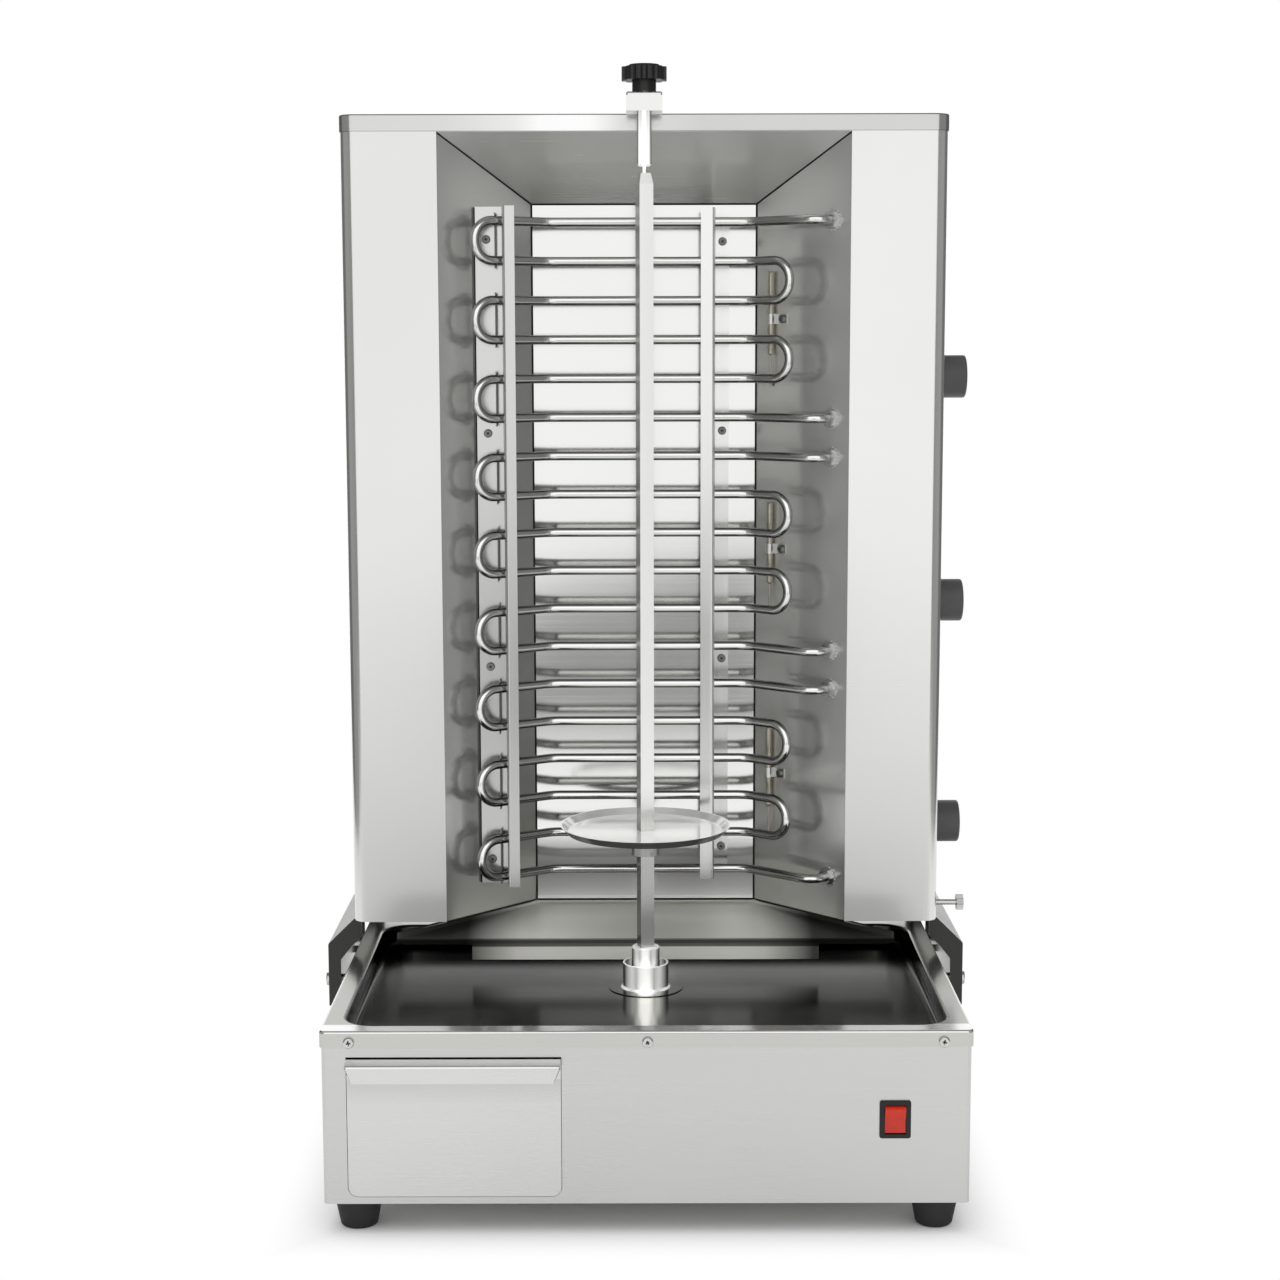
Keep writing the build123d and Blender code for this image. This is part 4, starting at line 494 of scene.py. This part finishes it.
# %% [markdown]
# ## Spindle
#
# The spindle is cold-drawn square bar. The face towards the viewer is bright all the way up and
# darker near the tray. The face turned away to the left has painted shade.

# %% Spindle
def bar_gloss(tree):
    return level(tree, "place", "Z", [(0.180, 0.25), (0.260, 0.45), (0.330, 0.80), (0.860, 0.80)])


def spindle_tone(tree):
    # Painted shade on the face turned away to the left, deepest low down.
    turned_away = level(tree, "normal", "X", [(-1.0, 1.0), (-0.80, 1.0), (-0.60, 0.0)])
    shade = level(tree, "place", "Z", [(0.260, 0.24), (0.330, 0.65)])
    left_face = add_node(tree, "ShaderNodeMix", {0: turned_away, 2: 1.0, 3: shade})
    height = level(tree, "place", "Z", [(0.180, 0.60), (0.260, 0.64), (0.330, 0.94), (0.860, 1.0)])
    return add_node(tree, "ShaderNodeMath", {0: left_face, 1: height}, operation="MULTIPLY")


dress(dull(retone(steel("bar_steel", "#FCFCF9", 0.20, "z", lines=0.02), spindle_tone), bar_gloss), "spindle_bar")

# %% [markdown]
# ## Turned pieces
#
# The hub, the socket and the clamp screw are turned on a lathe. A turned cylinder shows the room as
# upright stripes, white in the middle and dark at both sides; here they are a painted reflection, in
# places brighter than white, and its fine rings scatter the light round it. The collar under the
# plate is left as it came from the saw and is greyer.

# %% Turned pieces
def turned_painted_stripes(tree):
    # Painted reflection: upright stripes set by the way the surface faces.
    return level(tree, "normal", "X", [
        (-1.0, 0.05), (-0.92, 0.10), (-0.80, 1.1), (-0.60, 1.8), (-0.42, 1.1), (-0.22, 2.3),
        (0.15, 2.3), (0.36, 1.1), (0.58, 1.8), (0.80, 0.8), (0.92, 0.10), (1.0, 0.05),
    ])


dress(retone(steel("hub_steel", "#FFFFFC", 0.22, "z", lines=0.03, anisotropy=0.0, metallic=0.2),
             turned_painted_stripes), "hub_sleeve", "drive_socket", "clamp_screw")
dress(steel("turned_steel", "#E6E6E2", 0.22, "z", lines=0.04, anisotropy=0.0), "drive_shaft", "hub_bush")
dress(steel("collar_steel", "#A8A8A4", 0.30, "z", lines=0.04, anisotropy=0.0), "plate_collar", "collar_screw")

# %% [markdown]
# ## Meat plate
#
# The plate is a spun disc with a turned-up rim. Its floor is polished, and its reflection of the
# bright bay is painted in, brighter than white. The outside of the rim looks down into the dark tray
# and is painted dark as its reflection, and that dark line is what makes the plate read as a dish.

# %% Meat plate
def plate_painted_reflection(tree):
    # Painted reflection: bright on the floor, dark on the outside of the rim.
    return level(tree, "normal", "Z", [
        (-0.75, 0.20), (-0.10, 0.26), (0.10, 0.85), (0.60, 0.72), (0.90, 1.32), (1.0, 1.36),
    ])


dress(retone(steel("plate_steel", "#FFFFFC", 0.12, "x", metallic=0.52), plate_painted_reflection), "meat_plate")

# %% [markdown]
# ## Screws, rails, clips and castings
#
# Small hardware is bought in. Stainless screws are rolled and tumbled, which leaves a soft shine.
# Zinc-plated rails are bluish grey; the slide rails lie in shade and are painted almost black as
# painted shade. The sensor bulbs are copper tube dulled by heat, and the gearbox is die-cast
# aluminium with a matt, sandy skin. None of them is brushed, so all but the rails go without anisotropy.

# %% Screws, rails, clips and castings
dress(steel("zinc", "#9C9D9E", 0.42, "x", lines=0.05), "drawer_runners", "motor_bracket")
# Painted shade: the slide rails are made almost black.
dress(steel("zinc_in_shade", "#3A3A38", 0.5, "y", lines=0.05, metallic=0.3), "slide_rails")
for name, colour, roughness, grain, lines, dressed in (
    ("screw_steel", "#D6D6D4", 0.24, "z", 0.04, (
        "base_screws", "element_nuts", "arm_screws", "thumb_screw", "sensor_clips", "rail_bolts",
        "arm_bolts", "thermostat_shaft_top", "thermostat_shaft_middle", "thermostat_shaft_bottom")),
    ("dull_screw_steel", "#8C8C8A", 0.34, "z", 0.04, ("support_screws",)),
    ("wire_steel", "#7A7A78", 0.30, "z", 0.06, ("element_clips",)),
    ("bulb_copper", "#B9B4A4", 0.30, "x", 0.05, ("sensor_bulbs",)),
    ("cast_aluminium", "#A9ABAD", 0.5, "z", 0.02, ("motor_gearbox",)),
):
    dress(steel(name, colour, roughness, grain, lines=lines, anisotropy=0.0), *dressed)

# %% [markdown]
# ## Side arms
#
# Each arm is a folded sheet with a welded gusset at either end. The gussets lie in the shade of
# the arm, so faces that look forwards or backwards are painted dark here as painted shade, and the
# folded sheet between them stays as bright as the casing.

# %% Side arms
def gusset_painted_shade(tree):
    # Painted shade on faces that look forwards or backwards.
    ends = level(tree, "normal", "Y", [(-0.95, 0.11), (-0.85, 1.0)])
    rear = level(tree, "normal", "Y", [(0.85, 1.0), (0.95, 0.30)])
    return add_node(tree, "ShaderNodeMath", {0: ends, 1: rear}, operation="MULTIPLY")


dress(retone(steel("arm_steel", "#B8B8B6", 0.30, "z"), gusset_painted_shade), "side_arms")

# %% [markdown]
# ## Moulded plastic and rubber
#
# The knobs are black phenolic, the switch has a black nylon bezel and a lit orange polycarbonate
# button, and the feet are hard rubber. All are dielectrics: their colour stays the same from
# every side and only a soft highlight tells how smooth they are. The button is the glossiest and
# the rubber the dullest of them.

# %% Plastics
dress(plastic("knob_phenolic", "#505050", 0.44), "heat_knob_top", "heat_knob_middle", "heat_knob_bottom")
dress(plastic("black_phenolic", "#1A1A1A", 0.36), "clamp_knob")
dress(plastic("black_nylon", "#050505", 0.45), "rocker_bezel", "cable_gland", "motor_can")
dress(plastic("foot_rubber", "#242424", 0.7), "feet")
dress(plastic("cream_plastic", "#C9C4B0", 0.5), "terminal_block", "thermostats")
dress(plastic("orange_polycarbonate", "#D22C15", 0.22), "rocker_button")

# %% [markdown]
# ## Making small pieces
#
# The solids leave out the smallest things. They are built here with bmesh operators straight in
# the model's own place, so each object stays at the origin. Lengths are in millimetres until the
# last step, which scales the mesh to metres and lets the piece ride on a body.

# %% Piece helpers
MM = 0.001
merge_distance = 0.001


def finish_piece(name, mesh, material, body):
    """Turns a bmesh in millimetres into an object that rides on a body."""
    bmesh.ops.remove_doubles(mesh, verts=mesh.verts, dist=merge_distance)
    bmesh.ops.recalc_face_normals(mesh, faces=mesh.faces)
    bmesh.ops.scale(mesh, vec=(MM, MM, MM), verts=mesh.verts)
    data = bpy.data.meshes.new(name)
    mesh.to_mesh(data)
    mesh.free()
    data.materials.append(material)
    piece = bpy.data.objects.new(name, data)
    scene.collection.objects.link(piece)
    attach(piece, body)
    print(name, "faces:", len(data.polygons))


def facing(place, direction):
    """A matrix that puts local Z along a direction at a place."""
    return Matrix.Translation(place) @ Vector(direction).to_track_quat("Z", "Y").to_matrix().to_4x4()


def add_rod(mesh, start, end, radius, sides=8):
    """A capped round rod between two points."""
    start, end = Vector(start), Vector(end)
    bmesh.ops.create_cone(mesh, cap_ends=True, segments=sides, radius1=radius, radius2=radius,
                          depth=(end - start).length, matrix=facing((start + end) / 2, end - start))


# %% [markdown]
# ## Seams of the bay
#
# The bay is folded from four sheets that butt against each other. The gap between them is under a
# millimetre and full of shadow. A thin dark bead lies in each inner corner as painted shadow of that
# gap. A narrower one runs down the fold of the left support bar as painted shadow too.

# %% Bay seams
seam_radius, fold_radius = 0.95, 0.7
front_x, front_y, front_z = 177.0, 1.6, 887.3
rear_x, rear_y, rear_z = 100.4, 82.5, 831.5
rear_foot, wall_foot = 197.8, 197.6
fold_x, fold_y, fold_top, fold_foot = -147.6, 30.8, 826.0, 227.0
seams = bmesh.new()
for side in (-1, 1):
    front = (side * front_x, front_y, front_z)
    back = (side * rear_x, rear_y, rear_z)
    add_rod(seams, front, back, seam_radius)
    add_rod(seams, back, (side * rear_x, rear_y, rear_foot), seam_radius)
    add_rod(seams, (side * rear_x, rear_y, wall_foot), (side * front_x, front_y, wall_foot), seam_radius)
for height in (rear_z, rear_foot):
    add_rod(seams, (-rear_x, rear_y, height), (rear_x, rear_y, height), seam_radius)
add_rod(seams, (fold_x, fold_y, fold_top), (fold_x, fold_y, fold_foot), fold_radius)
# Painted shadow: near-black beads in the seams.
finish_piece("bay_seams", seams, plastic("seam_shadow", "#121211", 0.8), "casing")

# %% [markdown]
# ## Drip plate beads
#
# The slanted sides of the drip plate are rolled up so that grease can't run off sideways. The top
# of that rolled edge is a bright, half matt bead, a painted highlight that shows as a fine line from
# the rear wall to the front corners.

# %% Drip plate beads
# Painted highlight: a bright, half matt bead along each slanted edge.
bead_steel = steel("edge_highlight_steel", "#F6F6F4", 0.25, "x", anisotropy=0.0, metallic=0.5)
bead_radius = 0.7
beads = bmesh.new()
for side in (-1, 1):
    add_rod(beads, (side * 99.5, 81.0, 197.0), (side * 219.5, 6.0, 186.4), bead_radius)
finish_piece("drip_plate_beads", beads, bead_steel, "casing")

# %% [markdown]
# ## Star washers
#
# A toothed lock washer sits under each of the six heater nuts. It is a stamped ring of spring
# steel: a circle whose every second point is drawn in, given 0.9 mm of thickness. Its many small
# faces glitter, so the steel is bright and has no grain.

# %% Star washers
entry_x, entry_y = 163.007, 16.3
entry_heights = (814.1, 643.7, 609.62, 439.22, 405.14, 234.74)
bay_side = (-0.72665, -0.68701, 0.0)
washer_radius, washer_thickness = 9.4, 0.9
washer_teeth, tooth_root = 16, 0.86
spring_steel = steel("spring_steel", "#E4E4E0", 0.26, "z", lines=0.05, anisotropy=0.0)
washers = bmesh.new()
for z in entry_heights:
    centre = Vector((entry_x, entry_y, z))
    ring = bmesh.ops.create_circle(washers, cap_ends=True, segments=2 * washer_teeth, radius=washer_radius,
                                   matrix=facing(centre, bay_side))["verts"]
    for point in ring[::2]:
        point.co = centre + (point.co - centre) * tooth_root
    face = next(face for face in ring[0].link_faces)
    grown = bmesh.ops.extrude_face_region(washers, geom=[face])["geom"]
    bmesh.ops.translate(washers, vec=Vector(bay_side) * washer_thickness,
                        verts=[part for part in grown if isinstance(part, bmesh.types.BMVert)])
finish_piece("star_washers", washers, spring_steel, "casing")

# %% [markdown]
# ## Drawer lip hem
#
# The lip of the drawer is folded back on itself so that nobody cuts a finger. The fold shows as a
# fine round bead along the lower edge and up its two slanted ends. It is painted bright above and
# painted dark below, as the shade line under the fold.

# %% Drawer lip hem
hem_radius, hem_sides = 1.0, 12
hem_y = -240.5
top_ends, foot_ends = (-238.0, -68.5), (-232.6, -73.9)
lip_top, lip_foot = 143.6, 130.9


def hem_painted_shade(tree):
    # Painted shade: dark where the hem faces down.
    return level(tree, "normal", "Z", [(-1.0, 0.10), (-0.2, 0.14), (0.15, 1.0), (1.0, 1.0)])


hem_steel = retone(steel("hem_steel", "#F4F4F2", 0.22, "x"), hem_painted_shade)
hem = bmesh.new()
add_rod(hem, (foot_ends[0], hem_y, lip_foot), (foot_ends[1], hem_y, lip_foot), hem_radius, hem_sides)
for top_x, foot_x in zip(top_ends, foot_ends):
    add_rod(hem, (top_x, hem_y, lip_top), (foot_x, hem_y, lip_foot), hem_radius, hem_sides)
    bmesh.ops.create_uvsphere(hem, u_segments=hem_sides, v_segments=8, radius=hem_radius,
                              matrix=Matrix.Translation((foot_x, hem_y, lip_foot)))
finish_piece("drawer_lip_hem", hem, hem_steel, "drawer")

# %% [markdown]
# ## Cross recesses
#
# Every pan-head screw has a cross for the driver. Its bottom is in shadow, so a thin dark cross
# set just into the top of the head reads as the recess. Each screw stopped at its own angle.

# %% Cross recesses
recess_width, recess_height, recess_proud = 0.8, 0.3, 0.13


def add_cross(mesh, x, head_y, z, reach, turn):
    """Two short bars across each other, just proud of a screw head that faces forwards."""
    at_head = facing((x, head_y + recess_proud, z), (0, -1, 0)) @ Matrix.Rotation(radians(turn), 4, "Z")
    for quarter in (0, 90):
        bar = bmesh.ops.create_cube(mesh, size=1.0)["verts"]
        bmesh.ops.scale(mesh, vec=(reach, recess_width, recess_height), verts=bar)
        bmesh.ops.transform(mesh, matrix=at_head @ Matrix.Rotation(radians(quarter), 4, "Z"), verts=bar)


recess_shadow = plastic("recess_shadow", "#2A2A28", 0.7)
skirt_head_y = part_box("base_screws")[0][1] / MM
crosses = bmesh.new()
for x, turn in ((-236.0, 20), (1.0, 40), (236.0, 65)):
    add_cross(crosses, x, skirt_head_y, 160.46, 3.6, turn)
finish_piece("skirt_screw_crosses", crosses, recess_shadow, "base")

crosses = bmesh.new()
for z, turn in ((798.5, 10), (630.5, 50), (423.5, 30), (248.5, 75)):
    for x, head_y, further in ((-137.5, 27.7, 0), (69.9, 78.2, 25)):
        add_cross(crosses, x, head_y, z, 3.2, turn + further)
finish_piece("support_screw_crosses", crosses, recess_shadow, "casing")

# %% [markdown]
# ## Floor and backdrop
#
# The photograph stands on seamless white. The floor is pale and keeps the soft contact shadow
# close around the base. A little further out it turns to the same white as the world for the
# camera, and further still for mirror-like steel, so that the base mirrors a floor that is grey
# near its feet.

# %% Stage sheets
def flat_sheet(name, corners, material):
    """A stage sheet between four corners."""
    mesh = bmesh.new()
    mesh.faces.new([mesh.verts.new(corner) for corner in corners])
    data = bpy.data.meshes.new(name)
    mesh.to_mesh(data)
    mesh.free()
    data.materials.append(material)
    sheet = bpy.data.objects.new(name, data)
    scene.collection.objects.link(sheet)
    return sheet


# %% Floor
white = (1.0, 1.0, 1.0, 1.0)
floor_paint = (0.95, 0.95, 0.95, 1.0)
floor_reach = 9.0
base_half = (0.26, 0.23, 0.0)
camera_shadow = (-0.03, 0.05)  # where the shadow ends for the camera, counted from the base
mirror_shadow = (0.34, 0.70)  # and for mirror rays, counted from the middle
floor_material, tree = empty_material("studio_floor")
paint = add_node(tree, "ShaderNodeBsdfPrincipled", {
    "Base Color": floor_paint, "Roughness": 0.9, "Specular IOR Level": 0.1,
})
path = add_node(tree, "ShaderNodeLightPath")
place = add_node(tree, "ShaderNodeTexCoord").outputs["Object"]
distance = add_node(tree, "ShaderNodeVectorMath", {0: place}, operation="LENGTH").outputs["Value"]
size = add_node(tree, "ShaderNodeVectorMath", {0: place}, operation="ABSOLUTE")
past = add_node(tree, "ShaderNodeVectorMath", {0: size, 1: base_half}, operation="SUBTRACT")
sides = add_node(tree, "ShaderNodeSeparateXYZ", {"Vector": past})
beyond = add_node(tree, "ShaderNodeMath", {0: sides.outputs["X"], 1: sides.outputs["Y"]}, operation="MAXIMUM")
mirrored = add_node(tree, "ShaderNodeMath", {
    0: path.outputs["Is Glossy Ray"], 1: path.outputs["Is Transmission Ray"],
}, operation="MAXIMUM")
whites = []
for rays, value, (start, end) in (
    (path.outputs["Is Camera Ray"], beyond, camera_shadow), (mirrored, distance, mirror_shadow),
):
    faded = add_node(tree, "ShaderNodeMapRange", {"Value": value, "From Min": start, "From Max": end},
                     interpolation_type="SMOOTHSTEP")
    whites.append(add_node(tree, "ShaderNodeMath", {0: rays, 1: faded}, operation="MULTIPLY"))
either = add_node(tree, "ShaderNodeMath", {0: whites[0], 1: whites[1]}, operation="MAXIMUM")
glow = add_node(tree, "ShaderNodeEmission", {"Color": white, "Strength": 1.0})
mixed = add_node(tree, "ShaderNodeMixShader", {0: either, 1: paint, 2: glow})
add_node(tree, "ShaderNodeOutputMaterial", {"Surface": mixed})
flat_sheet("studio_floor", [(-floor_reach, -floor_reach, 0), (floor_reach, -floor_reach, 0),
                            (floor_reach, floor_reach, 0), (-floor_reach, floor_reach, 0)], floor_material)
print("floor reaches in m:", floor_reach)

# %% [markdown]
# ## World
#
# The room is an even white. It lights the object with a little less than it shows, so that pale
# sheet keeps its colour and doesn't clip to white.

# %% World
daylight = 0.78
world = bpy.data.worlds.new("studio")
world.use_nodes = True
tree = world.node_tree
tree.nodes.clear()
path = add_node(tree, "ShaderNodeLightPath")
shown = path.outputs["Is Camera Ray"]
for ray in ("Is Glossy Ray", "Is Transmission Ray"):
    shown = add_node(tree, "ShaderNodeMath", {0: shown, 1: path.outputs[ray]}, operation="MAXIMUM")
seen = add_node(tree, "ShaderNodeMapRange", {"Value": shown, "To Min": daylight, "To Max": 1.0})
background = add_node(tree, "ShaderNodeBackground", {"Color": white, "Strength": seen})
add_node(tree, "ShaderNodeOutputWorld", {"Surface": background})
scene.world = world
print("daylight:", daylight)

# %% [markdown]
# ## Cards
#
# A steel object in a white room has no edges: every corner mirrors white. Photographers stand
# grey and black cards left, right and above it, out of the picture, and the rounded corners, the
# heater tubes and the arms mirror them as darker lines. The cards act on mirror rays alone, so
# they throw no shadow and no camera sees them.

# %% Cards
def card_cloth(name, brightness):
    """Matt cloth that mirrors nothing: its brightness alone is what the steel shows."""
    material, tree = empty_material(name)
    cloth = add_node(tree, "ShaderNodeEmission", {
        "Color": (brightness, brightness, brightness, 1.0), "Strength": 1.0,
    })
    add_node(tree, "ShaderNodeOutputMaterial", {"Surface": cloth})
    return material


card_top = 2.3
near_x, near_y = 1.30, -1.75
bend_x, bend_y = 1.5, 0.2
far_y = 2.6
top_near_y = -1.35
front_half = 0.26
front_near_y, front_far_y = -1.86, -2.4
front_low, front_left, front_right = 0.012, 0.20, 0.29
side_cloth = card_cloth("grey_card", 0.29)
rear_cloth = card_cloth("black_card", 0.12)
cards = {}
for side, name in ((-1, "left"), (1, "right")):
    cards[name + "_card"] = ([
        (side * near_x, near_y, 0), (side * bend_x, bend_y, 0),
        (side * bend_x, bend_y, card_top), (side * near_x, near_y, card_top),
    ], side_cloth)
    cards[name + "_rear_card"] = ([
        (side * bend_x, bend_y, 0), (side * bend_x, far_y, 0),
        (side * bend_x, far_y, card_top), (side * bend_x, bend_y, card_top),
    ], rear_cloth)
cards["top_card"] = ([
    (-bend_x, top_near_y, card_top), (bend_x, top_near_y, card_top),
    (bend_x, far_y, card_top), (-bend_x, far_y, card_top),
], card_cloth("top_card", 0.22))
cards["front_card"] = ([
    (-front_half, front_near_y, front_low), (front_half, front_near_y, front_low),
    (front_half, front_far_y, front_right), (-front_half, front_far_y, front_left),
], card_cloth("front_card", 0.30))
for name, (corners, cloth) in cards.items():
    card = flat_sheet(name, corners, cloth)
    card.visible_camera = False
    card.visible_diffuse = False
    card.visible_shadow = False
    card.visible_transmission = False
print("cards:", len(cards))

# %% [markdown]
# ## Lamp
#
# One large soft lamp above and a little left gives the floor its faint shadow. Mirror rays pass
# it by, so that no white square stands in the tray or the bay.

# %% Lamp
lamp_place = Vector((-0.3, -0.4, 2.2))
lamp_data = bpy.data.lights.new("overhead", "AREA")
lamp_data.shape = "RECTANGLE"
lamp_data.size, lamp_data.size_y = 2.2, 1.8
lamp_data.energy = 14.0
lamp = bpy.data.objects.new("overhead", lamp_data)
lamp.location = lamp_place
lamp.rotation_euler = (-lamp_place).to_track_quat("-Z", "Y").to_euler()
lamp.visible_glossy = False
scene.collection.objects.link(lamp)
print("lamp in watts:", lamp_data.energy)
